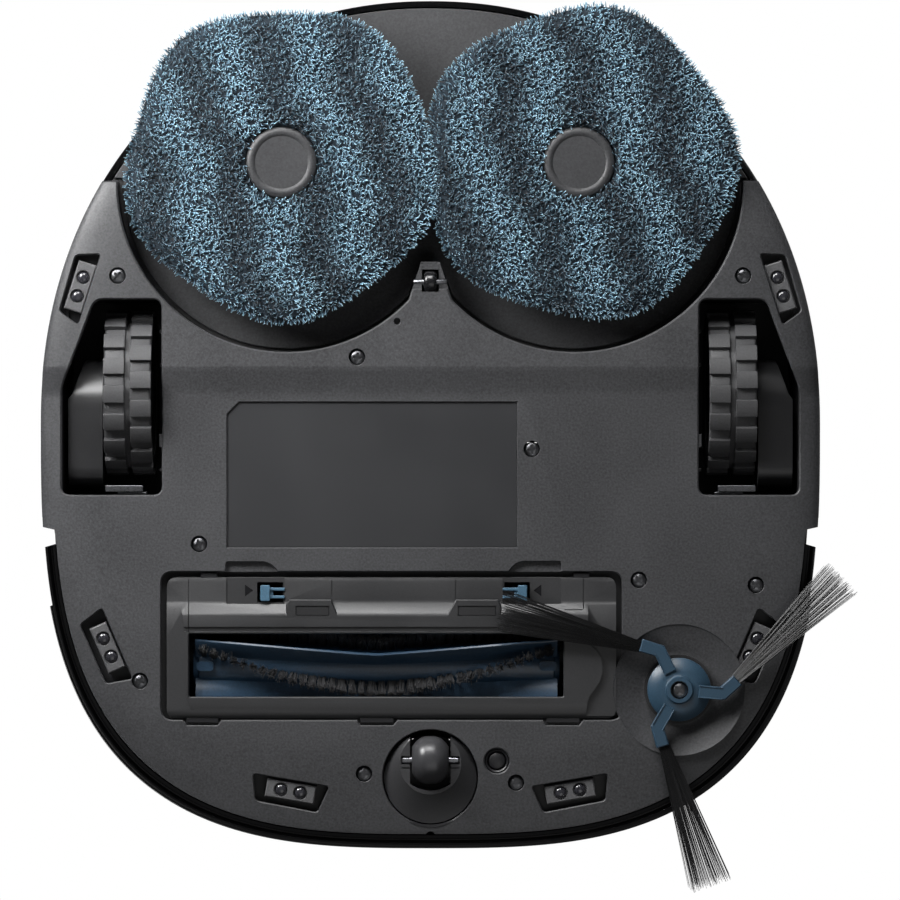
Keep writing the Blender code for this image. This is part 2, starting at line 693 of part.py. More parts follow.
def polar(radius, angle):
    """A point at a distance and heading from the side brush's axis."""
    return SIDE_X + radius * math.cos(angle), SIDE_Y + radius * math.sin(angle)


def side_brush():
    """Three-armed hub, its screw and three fans of bristles."""
    axis = (SIDE_X, SIDE_Y, 0.0)
    hub = make("side_brush_hub", turned(((4.2, 4.6), (9.0, 5.0), (SIDE_HUB_RADIUS, 7.2),
                                         (SIDE_HUB_RADIUS, 9.4), (4.2, 9.4)),
                                        (SIDE_X, SIDE_Y), 30), BLUE, at=axis)
    for number, heading in enumerate(BUNDLE_HEADINGS, 1):
        elbow = heading + math.radians(39.5)
        tip = heading + math.radians(25.3)
        root = polar(9.0, elbow)
        bend = polar(18.1, elbow)
        end = polar(24.0, tip)
        across = (math.cos(elbow + math.pi / 2), math.sin(elbow + math.pi / 2))
        run = Vector((end[0] - bend[0], end[1] - bend[1])).normalized()
        side = (-run.y, run.x)
        arm = [(root[0] - across[0] * 4.2, root[1] - across[1] * 4.2),
               (bend[0] - across[0] * 3.0, bend[1] - across[1] * 3.0),
               (end[0] - side[0] * 3.0, end[1] - side[1] * 3.0),
               (end[0] + side[0] * 3.0, end[1] + side[1] * 3.0),
               (bend[0] + across[0] * 3.0, bend[1] + across[1] * 3.0),
               (root[0] + across[0] * 4.2, root[1] + across[1] * 4.2)]
        combine(hub, f"arm_{number}", [prism(arm, 4.8, 8.6)], "UNION")
        far = polar(83.0, heading)
        along = Vector((far[0] - end[0], far[1] - end[1])).normalized()
        cross = (-along.y, along.x)
        start = (end[0] + along.x * 3.2, end[1] + along.y * 3.2)
        points = []
        for (x, y), half, low, high in ((start, 2.2, 5.2, 7.6), (far, 8.6, 1.0, 2.6)):
            for sign, z in ((-1, low), (1, low), (1, high), (-1, high)):
                points.append((x + cross[0] * half * sign, y + cross[1] * half * sign, z))
        faces = [(3, 2, 1, 0), (4, 5, 6, 7), (0, 1, 5, 4), (1, 2, 6, 5), (2, 3, 7, 6),
                 (3, 0, 4, 7)]
        make(f"bristle_bundle_{number}", (points, faces), RUBBER, at=axis, smooth=False)
    make("side_brush_screw", turned(((0, 4.3), (3.9, 4.3), (3.9, 9.2), (0, 9.2)),
                                    (SIDE_X, SIDE_Y), 16), STEEL, at=axis)


# --- mops ------------------------------------------------------------------

def lobed(side, radius, lobe, count=50):
    """A mop outline: a circle with five soft lobes."""
    outline = []
    for i in range(count):
        angle = 2 * math.pi * i / count
        reach = radius + lobe * math.cos(PAD_LOBES * (angle - PAD_PHASE[side]))
        outline.append((side * MOP_X + reach * math.cos(angle), MOP_Y + reach * math.sin(angle)))
    return outline


def mop(side, word):
    """Pad, pad plate with its spindle, centre cap and lifting gearbox."""
    centre = (side * MOP_X, MOP_Y)
    axis = (*centre, 0.0)
    count = 50
    hole = circle(centre, MOP_CAP_RADIUS + 0.6, count)
    make(f"mop_pad_{word}", ring(lobed(side, PAD_RADIUS, PAD_LOBE, count), hole, *PAD_Z), PILE,
         at=axis)
    plate_z = (PAD_Z[1] + GAP, PAD_Z[1] + 3.3)
    make(f"mop_plate_{word}", turned(((0, plate_z[0]), (MOP_PLATE_RADIUS, plate_z[0]),
                                      (MOP_PLATE_RADIUS, plate_z[1]),
                                      (SPINDLE_RADIUS, plate_z[1]), (SPINDLE_RADIUS, 26.7),
                                      (0, 26.7)), centre, 36), BLACK, at=axis)
    make(f"mop_cap_{word}", turned(((0, 2.6), (12.6, 2.6), (MOP_CAP_RADIUS, 4.2),
                                    (MOP_CAP_RADIUS, PAD_Z[1]), (0, PAD_Z[1])), centre, 36),
         CHARCOAL, at=axis)
    box = make(f"mop_gearbox_{word}", block((centre[0] - 24, centre[0] + 24),
                                            (MOP_Y - 20, MOP_Y + 20), (27.0, 47.0)), BLACK,
               at=axis)
    soften(box, 2.0)


# --- top side --------------------------------------------------------------

def lidar():
    """Lidar base, spinning head and the pressed cap on its four posts."""
    centre = (0.0, LIDAR_Y)
    axis = (*centre, 0.0)
    base = make("lidar_base", turned(((0, 86.0), (LIDAR_RADIUS, 86.0), (LIDAR_RADIUS, 99.0),
                                      (0, 99.0)), centre, 40), CHARCOAL)
    spots = [(centre[0] + 35.0 * math.cos(math.radians(a)),
              centre[1] + 35.0 * math.sin(math.radians(a))) for a in (45, 135, 225, 315)]
    combine(base, "post_wells", [prism(circle(p, POST_RADIUS + GAP, 12), 94.5, 101.0)
                                 for p in spots])
    make("lidar_head", turned(((0, 99.3), (29.0, 99.3), (29.0, 108.6), (26.0, 109.2),
                               (0, 109.2)), centre, 32), LENS, at=axis)
    cap = make("lidar_cap", turned(((0, 110.8), (LIDAR_RADIUS, 110.8), (LIDAR_RADIUS, 112.3),
                                    (LIDAR_RADIUS - 1.5, LIDAR_TOP), (0, LIDAR_TOP)), centre,
                                   40), CHARCOAL, at=axis)
    combine(cap, "cap_posts", [prism(circle(p, POST_RADIUS, 12), 97.0, 111.5) for p in spots],
            "UNION")


def dustbin():
    """The lift-out dustbin, flush with the top, and its folding handle."""
    x = (-BIN_X, BIN_X)
    box = make("dustbin", block(x, BIN_Y, (50.0, TOP_Z)), GREY)
    room = block((x[0] + 2, x[1] - 2), (BIN_Y[0] + 2, BIN_Y[1] - 2), (52.0, 90.0))
    inlet = block((-40.0, 40.0), (BIN_Y[1] - 5, BIN_Y[1] + 5), (56.0, 76.0))
    combine(box, "bin_room", [room])
    combine(box, "bin_inlet", [inlet])
    pocket = block((-32.0, 32.0), (-64.0, -38.0), (92.2, 99.0))
    combine(box, "handle_pocket", [pocket])
    grip = make("dustbin_handle", block((-31.0, 31.0), (-60.0, -42.0), (93.4, 96.6)), CHARCOAL,
                at=(0.0, -43.6, 95.0))
    combine(grip, "grip_hole", [block((-24.0, 24.0), (-55.0, -47.0), (90.0, 99.0))])


def buttons():
    """Two round push buttons."""
    for side, word in ((1, "power_button"), (-1, "dock_button")):
        centre = (side * BUTTON_X, BUTTON_Y)
        make(word, turned(((0, 92.5), (BUTTON_RADIUS, 92.5), (BUTTON_RADIUS, 97.2), (6.0, 97.8),
                           (0, 97.8)), centre, 24), CHARCOAL, at=(*centre, 0.0))


base_plate()
tray()
skirt()
top_panel()
brush_chamber()
inner_parts()
sensors()
bumper()
caster()
main_brush()
brush_cover()
side_brush()
lidar()
dustbin()
buttons()
for side_sign, side_word in ((1, "left"), (-1, "right")):
    wheel_housing(side_sign, side_word)
    drive_wheel(side_sign, side_word)
    mop(side_sign, side_word)
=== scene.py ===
"""Looks of the robot vacuum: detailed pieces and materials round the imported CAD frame.

Sizes are in millimetres in body coordinates (X to the robot's left, Y to its rear,
Z up from the floor) and are moved to the frame, in metres, when a piece is finished.
"""
import math

import bmesh
import bpy
import numpy as np
from mathutils import Matrix, Vector


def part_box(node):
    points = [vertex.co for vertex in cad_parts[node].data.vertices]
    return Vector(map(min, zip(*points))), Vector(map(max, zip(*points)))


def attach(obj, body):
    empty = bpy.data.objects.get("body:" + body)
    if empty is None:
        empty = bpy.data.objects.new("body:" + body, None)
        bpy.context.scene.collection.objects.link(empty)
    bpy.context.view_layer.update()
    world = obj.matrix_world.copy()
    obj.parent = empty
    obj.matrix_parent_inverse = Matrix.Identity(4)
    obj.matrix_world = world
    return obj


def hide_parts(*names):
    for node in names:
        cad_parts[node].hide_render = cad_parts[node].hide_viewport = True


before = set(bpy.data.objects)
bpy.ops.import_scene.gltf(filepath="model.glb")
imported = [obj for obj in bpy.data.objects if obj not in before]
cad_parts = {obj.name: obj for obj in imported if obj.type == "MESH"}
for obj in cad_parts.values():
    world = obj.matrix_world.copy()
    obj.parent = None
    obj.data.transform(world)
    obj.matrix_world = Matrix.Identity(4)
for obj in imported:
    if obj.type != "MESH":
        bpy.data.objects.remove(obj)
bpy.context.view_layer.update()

MM = 0.001

# --- sizes -------------------------------------------------------------------

# The body's outline: two superellipses that meet at Y = 0. Ahead of the notch the body
# steps in behind the bumper.
HALF_WIDTH = 164.0
HALF_LENGTH = 178.0
REAR_POWER = 2.12
FRONT_POWER = 3.0
SEGMENTS = 240
NOTCH = (-40.0, -46.0)
BUMPER_END = -52.0
FRONT_INSET = 6.3
SKIRT_INSET = 10.0

# The underside drops at the step behind the label and rises at the chin in front.
STEP_Y, STEP_LENGTH, STEP_DROP = 12.0, 11.7, 3.4
CHIN_Y, CHIN_LENGTH, CHIN_SLOPE = -141.6, 24.0, 0.075

# Heights above the floor.
BASE_Z = 9.5
PLATE_TOP = 12.5
TRAY_TOP = 26.0
TOP_Z = 97.0

SIDES = ((1, "left"), (-1, "right"))
WHEEL_X, WHEEL_Y, WHEEL_R = 126.3, 13.3, 35.0
MOP_X, MOP_Y = 62.05, 108.8
PAD_R, PAD_LOBE, PAD_LOBES = 64.2, 2.2, 5
PILE_START, STRIPE_PITCH = 15.6, 31.7
PAD_PHASE = {1: math.radians(52.0), -1: math.radians(33.0)}
BAY_X, BAY_Y, BAY_R, WING_Y = 60.0, 100.5, 70.6, 101.5
BAY_CEILING = 23.5
SWIVEL_Y, CASTER_Y, CASTER_R = -147.8, -140.5, 10.0
SOCKET_R = 20.0
CARPET = (-27.8, -140.9)
SIDE = (-103.8, -111.0)
HEADINGS = tuple(math.radians(a) for a in (23.9, 145.3, 260.8))
ELBOW, HAND = math.radians(39.5), math.radians(25.3)
BRUSH_Y, BRUSH_Z = -101.0, 24.5
BRUSH_X = (-54.6, 99.8)
FIN_R = 17.5
TUFT_R = 9.4
LIDAR_Y = 45.0
KEY_X, KEY_Y = 15.0, -135.0
THREAD_FLOOR = 0.35
THREAD_COLORS = "tuft"
SCREWS = (
    (130.5, 61.7), (-130.5, 61.7), (30.6, 27.8), (-42.4, -10.6), (96.6, -50.3),
    (-87.1, -65.3), (-136.0, -67.4), (121.3, -107.5), (27.7, -146.3), (-35.8, -150.1),
)
QUADS = {
    "rear": ((148.2, 70.4), (155.0, 47.0), (147.0, 41.2), (137.6, 70.8)),
    "side": ((137.2, -77.0), (124.4, -106.6), (135.6, -108.7), (146.4, -84.1)),
    "front": ((74.1, -146.3), (73.2, -157.6), (47.3, -162.6), (42.3, -151.7)),
}

# Each sensor block in its pocket: reach along it and across it, inwards positive.
SENSOR_BLOCKS = {"rear": ((-10.5, 10.5), (-3.1, 4.7)), "side": ((-10.3, 10.1), (-4.8, 2.8)),
                 "front": ((-11.0, 9.8), (-2.9, 4.9))}

left_hub, right_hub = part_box("wheel_hub_left"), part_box("wheel_hub_right")
ORIGIN = Vector(((left_hub[0].x + left_hub[1].x + right_hub[0].x + right_hub[1].x) / 4,
                 (left_hub[0].y + left_hub[1].y) / 2 - WHEEL_Y * MM, 0.0))


# --- materials -----------------------------------------------------------------

def linear(code):
    """A linear colour from an sRGB hex code."""
    parts = [int(code[i:i + 2], 16) / 255 for i in (0, 2, 4)]
    return tuple(c / 12.92 if c <= 0.04045 else ((c + 0.055) / 1.055) ** 2.4 for c in parts)


def shader_of(name):
    """A new material, its tree and its Principled node."""
    made = bpy.data.materials.new(name)
    made.use_nodes = True
    return made, made.node_tree, made.node_tree.nodes["Principled BSDF"]


def fill(node, inputs):
    """Give a node's inputs their numbers, colours or sources."""
    for key, value in inputs.items():
        if isinstance(value, bpy.types.NodeSocket):
            node.id_data.links.new(value, node.inputs[key])
        else:
            node.inputs[key].default_value = value


def add(tree, kind, inputs=None, **settings):
    """A new node with its settings and its inputs."""
    node = tree.nodes.new("ShaderNode" + kind)
    for key, value in settings.items():
        setattr(node, key, value)
    fill(node, inputs or {})
    return node


def noise(tree, scale, detail=2.0, roughness=0.55, stretch=None):
    """A noise texture on object coordinates, in features per metre."""
    where = add(tree, "TexCoord").outputs["Object"]
    if stretch:
        where = add(tree, "Mapping", {"Scale": stretch, "Vector": where}).outputs["Vector"]
    return add(tree, "TexNoise", {"Scale": scale, "Detail": detail, "Roughness": roughness,
                                  "Vector": where}).outputs["Fac"]


def ramp(tree, source, stops):
    """Colours laid out along a value; stops are (position, colour)."""
    node = add(tree, "ValToRGB", {"Fac": source})
    row = node.color_ramp.elements
    while len(row) < len(stops):
        row.new(0.5)
    for slot, (place, color) in zip(row, stops):
        slot.position = place
        slot.color = (*color, 1.0)
    return node.outputs["Color"]


def spread(tree, source, low, high, start=0.3, end=0.7):
    """A value mapped onto a range."""
    return add(tree, "MapRange", {"From Min": start, "From Max": end, "To Min": low,
                                  "To Max": high, "Value": source}).outputs["Result"]


def bumped(tree, shader, height, strength, distance):
    """Surface relief from a height."""
    node = add(tree, "Bump", {"Strength": strength, "Distance": distance * MM,
                              "Height": height})
    fill(shader, {"Normal": node.outputs["Normal"]})


def mixed(tree, first, second, share):
    """Two colours blended by a value."""
    return add(tree, "Mix", {"Factor": share, "A": first, "B": second},
               data_type="RGBA").outputs["Result"]


def scaled(color, factor):
    """A colour made lighter or darker."""
    return tuple(c * factor for c in color)


def plastic(name, base, roughness, grain=1500.0, relief=0.12, contrast=0.22, strength=0.35,
            specular=0.5):
    """Moulded plastic: spark-eroded grain, faint colour clouds and rubbed patches."""
    made, tree, shader = shader_of(name)
    fine = noise(tree, grain, 3.0, 0.6)
    clouds = noise(tree, 26.0, 3.0, 0.6)
    speckle = ramp(tree, fine, ((0.3, scaled(base, 1 - contrast)), (0.5, base),
                                (0.7, scaled(base, 1 + contrast))))
    worn = ramp(tree, fine, ((0.3, base), (0.7, scaled(base, 1 + 1.6 * contrast))))
    rubbed = spread(tree, clouds, 0.0, 0.8, 0.4, 0.75)
    fill(shader, {"Base Color": mixed(tree, speckle, worn, rubbed),
                  "Roughness": spread(tree, clouds, roughness - 0.05, roughness + 0.05),
                  "Specular IOR Level": specular})
    bumped(tree, shader, fine, strength, relief)
    return made


def steel(name, color, roughness):
    """Brushed, slightly tarnished metal."""
    made, tree, shader = shader_of(name)
    lines = noise(tree, 700.0, 3.0, 0.6, (1.0, 14.0, 1.0))
    base = linear(color)
    fill(shader, {"Base Color": ramp(tree, lines, ((0.3, scaled(base, 0.7)), (0.7, base))),
                  "Roughness": spread(tree, lines, roughness - 0.08, roughness + 0.1),
                  "Metallic": 1.0})
    bumped(tree, shader, lines, 0.25, 0.05)
    return made


def glass(name, color, roughness):
    """Dark smoked window with faint ripples."""
    made, tree, shader = shader_of(name)
    ripple = noise(tree, 60.0, 2.0)
    base = linear(color)
    fill(shader, {"Base Color": ramp(tree, ripple, ((0.3, base), (0.7, scaled(base, 1.5)))),
                  "Roughness": spread(tree, ripple, roughness, roughness + 0.05),
                  "Coat Weight": 0.6, "Coat Roughness": 0.05})
    return made


def fibres(name, deep, low, middle, high, roughness=0.85, sheen=0.25, specular=0.5):
    """Threads darker toward the root as painted shade in the pile and lighter toward the tip as a
    painted highlight, mixed by each one's tone, which on the mop pads also carries painted sheen
    in stripes.
    """
    made, tree, shader = shader_of(name)
    source = add(tree, "Attribute", attribute_name=THREAD_COLORS).outputs["Color"]
    place, tone_and_sheen, _ = add(tree, "SeparateColor", {"Color": source}).outputs
    # Colour along each thread: painted shade at the root, painted highlight at the tip; the second
    # ramp is a darker painted shade.
    along = ramp(tree, place, ((0.0, deep), (0.45, low), (0.8, middle), (1.0, high)))
    deeper_painted_shade = ramp(tree, place, ((0.0, scaled(deep, 0.5)), (0.6, deep), (1.0, low)))
    fluff = noise(tree, 3000.0, 2.0)
    fill(shader, {"Base Color": mixed(tree, deeper_painted_shade, along, tone_and_sheen),
                  "Roughness": spread(tree, fluff, roughness - 0.08, roughness + 0.08),
                  "Specular IOR Level": specular, "Sheen Weight": sheen,
                  "Sheen Roughness": 0.5})
    bumped(tree, shader, fluff, 0.3, 0.1)
    return made


CHARCOAL = plastic("charcoal_shell", (0.037, 0.0375, 0.0400), 0.50, 1050.0, 0.14, 0.42, 0.5)
# A darker copy of the charcoal plastic: painted shade for the recessed mop bay ceiling.
SHADED_CHARCOAL = plastic("charcoal_shaded_deck", (0.028, 0.0285, 0.0305), 0.58, 1050.0, 0.12, 0.35)
COVER = plastic("charcoal_cover", (0.0120, 0.0122, 0.0135), 0.45, 1200.0, 0.10, 0.3,
                specular=0.9)
BLACK = plastic("black_plastic_satin", (0.010, 0.010, 0.0115), 0.38, 1800.0, 0.06)
GLOSS = plastic("black_plastic_gloss", (0.008, 0.008, 0.009), 0.22, 900.0, 0.02, 0.1, 0.1)
ARM = plastic("gearbox_case_plastic", (0.016, 0.016, 0.017), 0.33, 1500.0, 0.05, 0.15)
FORK = plastic("caster_fork_plastic", (0.034, 0.034, 0.036), 0.36, 1500.0, 0.05, 0.15)
SHEEN = plastic("caster_wheel_plastic", (0.040, 0.040, 0.043), 0.31, 1500.0, 0.03, 0.15)
CAP = plastic("mop_cap_plastic", (0.025, 0.0255, 0.0275), 0.50, 1050.0, 0.12, 0.35)
GREY = plastic("grey_plastic_moulded", (0.16, 0.165, 0.17), 0.5)
SENSOR = plastic("sensor_block_plastic", (0.085, 0.085, 0.088), 0.40, 1200.0, 0.05)
BLUE = plastic("blue_plastic_moulded", (0.022, 0.051, 0.082), 0.38, 2000.0, 0.05, 0.18)
BRIGHT_BLUE = plastic("blue_latch_plastic", (0.055, 0.120, 0.180), 0.42, 2000.0, 0.05, 0.18)
NAVY = plastic("roller_core_plastic", (0.014, 0.036, 0.066), 0.33, 1100.0, 0.05, 0.25)
RUBBER = plastic("tyre_rubber", (0.042, 0.042, 0.044), 0.62, 1300.0, 0.10, 0.2)
SOFT_BLACK = plastic("soft_black_rubber", (0.011, 0.011, 0.012), 0.55, 1200.0, 0.08)
LABEL = plastic("label_film", (0.018, 0.0185, 0.0205), 0.50, 2600.0, 0.03, 0.12)
STEEL = steel("dark_steel_brushed", "8f9094", 0.30)
SCREW = steel("screw_steel_blackened", "7c7d80", 0.36)
LENS = glass("smoked_window", "060608", 0.08)
CLEAR = glass("sensor_lens", "26262a", 0.12)
# Pile colours run from painted shade at the root to a bright painted highlight at the tip.
PILE = fibres("microfibre_pile", (0.0035, 0.006, 0.010), (0.040, 0.085, 0.125),
              (0.180, 0.340, 0.460), (0.560, 0.860, 1.000))
# Bristle colours run from painted shade at the root to a grey painted highlight at the tip.
BRISTLE = fibres("black_bristles", (0.013, 0.013, 0.0135), (0.028, 0.028, 0.029),
                 (0.042, 0.042, 0.044), (0.060, 0.060, 0.063), 0.45, 0.0, 0.4)
PILE_BASE = plastic("microfibre_backing", (0.010, 0.018, 0.026), 0.95, 900.0, 0.4, 0.5, 0.8)


# --- shapes, each a list of vertices and a list of faces -----------------------

def circle(centre, radius, count=48):
    """Points of a circle, counter-clockwise."""
    turn = 2 * math.pi / count
    return [(centre[0] + radius * math.cos(i * turn), centre[1] + radius * math.sin(i * turn))
            for i in range(count)]


def rectangle(x, y):
    """A rectangle's corners from its (low, high) ranges."""
    return [(x[0], y[0]), (x[1], y[0]), (x[1], y[1]), (x[0], y[1])]


def mirrored(outline, side):
    """An outline drawn on the left, put on either side."""
    return [(side * x, y) for x, y in outline]


def span(side, near, far):
    """A range of X from two distances out to a side."""
    return sorted((side * near, side * far))


def spun(centre, points, turn):
    """Points about a centre, turned."""
    c, s = math.cos(turn), math.sin(turn)
    return [(centre[0] + x * c - y * s, centre[1] + x * s + y * c) for x, y in points]


def along_x(shape):
    """A shape drawn in (y, z, x) turned to run along X."""
    return [(w, u, v) for u, v, w in shape[0]], shape[1]


def at_heights(rings):
    """Layers from (outline, height) pairs."""
    return [[(x, y, z) for x, y in ring] for ring, z in rings]


def strips(layers, around):
    """The layers' points and the quads between them; the last can join the first."""
    count = len(layers[0])
    points = [p for layer in layers for p in layer]
    faces = []
    for k in range(len(layers) if around else len(layers) - 1):
        a, b = k * count, ((k + 1) % len(layers)) * count
        for i in range(count):
            j = (i + 1) % count
            faces.append((a + i, a + j, b + j, b + i))
    return points, faces


def loft(layers):
    """A solid through outlines with the same number of points, capped at both ends."""
    points, faces = strips(layers, around=False)
    count = len(layers[0])
    faces.append(tuple(reversed(range(count))))
    faces.append(tuple(range((len(layers) - 1) * count, len(layers) * count)))
    return points, faces


def tube(layers):
    """A closed ring of a solid: the last outline joins the first."""
    return strips(layers, around=True)


def prism(outline, low, high):
    """A closed extrusion of an outline along Z."""
    return loft(at_heights(((outline, low), (outline, high))))


def block(x, y, z):
    """A box from its (low, high) ranges."""
    return prism(rectangle(x, y), *z)


def rounded(outline, radius, steps=5):
    """An outline with its corners rounded."""
    made = []
    count = len(outline)
    for i in range(count):
        here = Vector(outline[i])
        back = Vector(outline[i - 1]) - here
        ahead = Vector(outline[(i + 1) % count]) - here
        reach = min(radius, back.length * 0.45, ahead.length * 0.45)
        start = here + back.normalized() * reach
        end = here + ahead.normalized() * reach
        for k in range(steps + 1):
            t = k / steps
            spot = start * (1 - t) ** 2 + here * (2 * t * (1 - t)) + end * t ** 2
            made.append((spot.x, spot.y))
    return made


def area_of(outline):
    """Twice the signed area."""
    return sum(a[0] * b[1] - b[0] * a[1] for a, b in zip(outline, outline[1:] + outline[:1]))


def grown(outline, amount):
    """An outline moved outwards along its corners' normals (inwards when negative)."""
    sign = 1.0 if area_of(outline) > 0 else -1.0
    made = []
    count = len(outline)
    for i in range(count):
        here = Vector(outline[i])
        back = (here - Vector(outline[i - 1])).normalized()
        ahead = (Vector(outline[(i + 1) % count]) - here).normalized()
        normal = Vector((back.y + ahead.y, -back.x - ahead.x)) * sign
        if normal.length < 1e-6:
            normal = Vector((back.y, -back.x)) * sign
        normal.normalize()
        bend = max(0.5, normal.dot(Vector((back.y, -back.x)) * sign))
        spot = here + normal * (amount / bend)
        made.append((spot.x, spot.y))
    return made


def pocket(outline, high, chamfer=0.5, base=BASE_Z):
    """A cutter from below whose mouth is chamfered at the base height."""
    wide = grown(outline, chamfer)
    return loft(at_heights(((wide, base - 3.0), (wide, base - 0.001), (outline, base + chamfer),
                            (outline, high))))


def eased(outline, low, high, ease):
    """A prism whose lower edge is chamfered."""
    return loft(at_heights(((grown(outline, -ease), low), (outline, low + ease),
                            (outline, high))))


def turned(profile, centre, count=48):
    """A solid of revolution about Z from a closed (radius, height) loop."""
    points, rings = [], []
    for radius, height in profile:
        if radius < 1e-6:
            rings.append([len(points)])
            points.append((centre[0], centre[1], height))
            continue
        rings.append(list(range(len(points), len(points) + count)))
        points += [(u, v, height) for u, v in circle(centre, radius, count)]
    faces = []
    for lower, upper in zip(rings, rings[1:] + rings[:1]):
        for i in range(count):
            j = (i + 1) % count
            if len(lower) == 1 and len(upper) == 1:
                break
            if len(lower) == 1:
                faces.append((lower[0], upper[j], upper[i]))
            elif len(upper) == 1:
                faces.append((lower[i], lower[j], upper[0]))
            else:
                faces.append((lower[i], lower[j], upper[j], upper[i]))
    return points, faces


def joined(shapes):
    """Several shapes as one."""
    points, faces = [], []
    for shape_points, shape_faces in shapes:
        offset = len(points)
        points += shape_points
        faces += [tuple(offset + i for i in face) for face in shape_faces]
    return points, faces


def hull(angle, inset):
    """A point of the body outline, inset by a distance."""
    c, s = math.cos(angle), math.sin(angle)
    power = REAR_POWER if s >= 0 else FRONT_POWER
    return (math.copysign(abs(c) ** (2 / power), c) * (HALF_WIDTH - inset),
            math.copysign(abs(s) ** (2 / power), s) * (HALF_LENGTH - inset))


def hull_ring(inset):
    """The whole body outline, inset by a distance."""
    return [hull(2 * math.pi * i / SEGMENTS, inset) for i in range(SEGMENTS)]


def notched(rear_inset, front_inset):
    """The body outline, stepped in at the front where the bumper wraps it."""
    outline = []
    for i in range(SEGMENTS):
        angle = 2 * math.pi * i / SEGMENTS
        depth = hull(angle, 0.0)[1]
        share = min(1.0, max(0.0, (NOTCH[0] - depth) / (NOTCH[0] - NOTCH[1])))
        outline.append(hull(angle, rear_inset + (front_inset - rear_inset) * share))
    return outline


def shell(profile):
    """A solid whose closed (inset, z) profile follows the outline all the way round."""
    return loft(at_heights([(hull_ring(inset), z) for inset, z in profile]))


def band(outer, inner, low, high):
    """A closed band between two outlines with the same number of points."""
    return tube(at_heights(((outer, low), (outer, high), (inner, high), (inner, low))))


def swept(profile, station, steps):
    """A closed (inset, z) profile carried along an open path, with flat ends."""
    return loft([[(*station(step / steps, inset), z) for inset, z in profile]
                 for step in range(steps + 1)])


def front_station(share, inset):
    """A point along the bumper, from the robot's left to its right side."""
    reach = math.asin((abs(BUMPER_END) / HALF_LENGTH) ** (FRONT_POWER / 2))
    return hull(-reach - (math.pi - 2 * reach) * share, inset)


def bay_front(radius, edge_y, tab):
    """The front edge of the mop bay, from -X to +X: arc, idler tab, arc."""
    reach = math.sqrt(radius ** 2 - (edge_y - BAY_Y) ** 2)
    edge_angle = math.atan2(edge_y - BAY_Y, reach)
    drop = math.sqrt(radius ** 2 - (BAY_X - tab[0]) ** 2)
    tab_angle = math.atan2(-drop, tab[0] - BAY_X)
    arc = []
    steps = 60
    for i in range(steps + 1):
        angle = tab_angle + (edge_angle - tab_angle) * i / steps
        arc.append((BAY_X + radius * math.cos(angle), BAY_Y + radius * math.sin(angle)))
    return (mirrored(arc[::-1], -1) + [(-tab[0] + 1.5, tab[1]), (tab[0] - 1.5, tab[1])] + arc)


# --- pieces ----------------------------------------------------------------------

def mesh_from(name, shape):
    """A mesh in millimetres with its faces turned outwards."""
    mesh = bpy.data.meshes.new(name)
    mesh.from_pydata(shape[0], [], shape[1])
    work = bmesh.new()
    work.from_mesh(mesh)
    bmesh.ops.recalc_face_normals(work, faces=work.faces)
    work.to_mesh(mesh)
    work.free()
    return mesh


def rough(name, shape):
    """A piece still in millimetres."""
    made = bpy.data.objects.new(name, mesh_from(name, shape))
    bpy.context.collection.objects.link(made)
    return made


def carve(made, shapes, operation="DIFFERENCE"):
    """A Boolean with shapes that don't meet each other, applied at once."""
    cutter = rough("cutter", joined(shapes))
    step = made.modifiers.new("carve", "BOOLEAN")
    step.operation = operation
    step.solver = "EXACT"
    step.object = cutter
    bpy.context.view_layer.update()
    graph = bpy.context.evaluated_depsgraph_get()
    result = bpy.data.meshes.new_from_object(made.evaluated_get(graph))
    made.modifiers.clear()
    made.data = result
    bpy.data.objects.remove(cutter, do_unlink=True)
    return made


def ease_edges(made, width, angle, segments=2):
    """A bevel on every edge sharper than an angle."""
    step = made.modifiers.new("edges", "BEVEL")
    step.width = width * MM
    step.segments = segments
    step.limit_method = "ANGLE"
    step.angle_limit = math.radians(angle)
    return step


def finish_piece(made, finish, body, nodes=(), bevel=0.0, angle=35.0, segments=2):
    """Move a piece to the frame, give it its look and tie it to its body."""
    mesh = made.data
    mesh.transform(Matrix.Translation(ORIGIN) @ Matrix.Scale(MM, 4))
    mesh.materials.clear()
    mesh.materials.append(finish)
    mesh.shade_smooth()
    mesh.set_sharp_from_angle(angle=math.radians(angle))
    if bevel:
        step = ease_edges(made, bevel, angle, segments)
        step.use_clamp_overlap = True
        step.harden_normals = True
    if nodes:
        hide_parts(*nodes)
    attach(made, body)
    return made


def piece(name, shape, finish, body, nodes=(), bevel=0.0, angle=35.0):
    """A finished piece straight from a shape."""
    return finish_piece(rough(name, shape), finish, body, nodes, bevel, angle)


def smoothstep(low, high, value):
    """0 below low, 1 above high, smooth between."""
    t = min(1.0, max(0.0, (value - low) / (high - low)))
    return t * t * (3 - 2 * t)


# --- chassis -----------------------------------------------------------------------

def dish_rise(inset):
    """How far the underside curves up near its edge."""
    steps = ((0, 5.6), (1, 5.0), (1.8, 4.2), (3.5, 3.3), (8, 2.15), (16, 1.0), (30, 0.22), (45, 0))
    for (a, low), (b, high) in zip(steps, steps[1:]):
        if inset < b:
            return low + (high - low) * max(0.0, inset - a) / (b - a)
    return 0.0


def relief(x, y):
    """The underside's shape: dished rim, stepped rear and rising chin."""
    power = REAR_POWER if y >= 0 else FRONT_POWER
    share = (abs(x / HALF_WIDTH) ** power + abs(y / HALF_LENGTH) ** power) ** (1 / power)
    inset = (1 - share) * math.hypot(x, y) / max(share, 0.01)
    rise = dish_rise(max(0.0, inset))
    rise -= STEP_DROP * min(1.0, max(0.0, (y - STEP_Y) / STEP_LENGTH)) ** 1.1
    crease = CHIN_Y + 4.2 * (abs(x) / 54.0) ** 2
    if y < crease:
        rise += CHIN_SLOPE * min(crease - y, CHIN_LENGTH)
    return rise


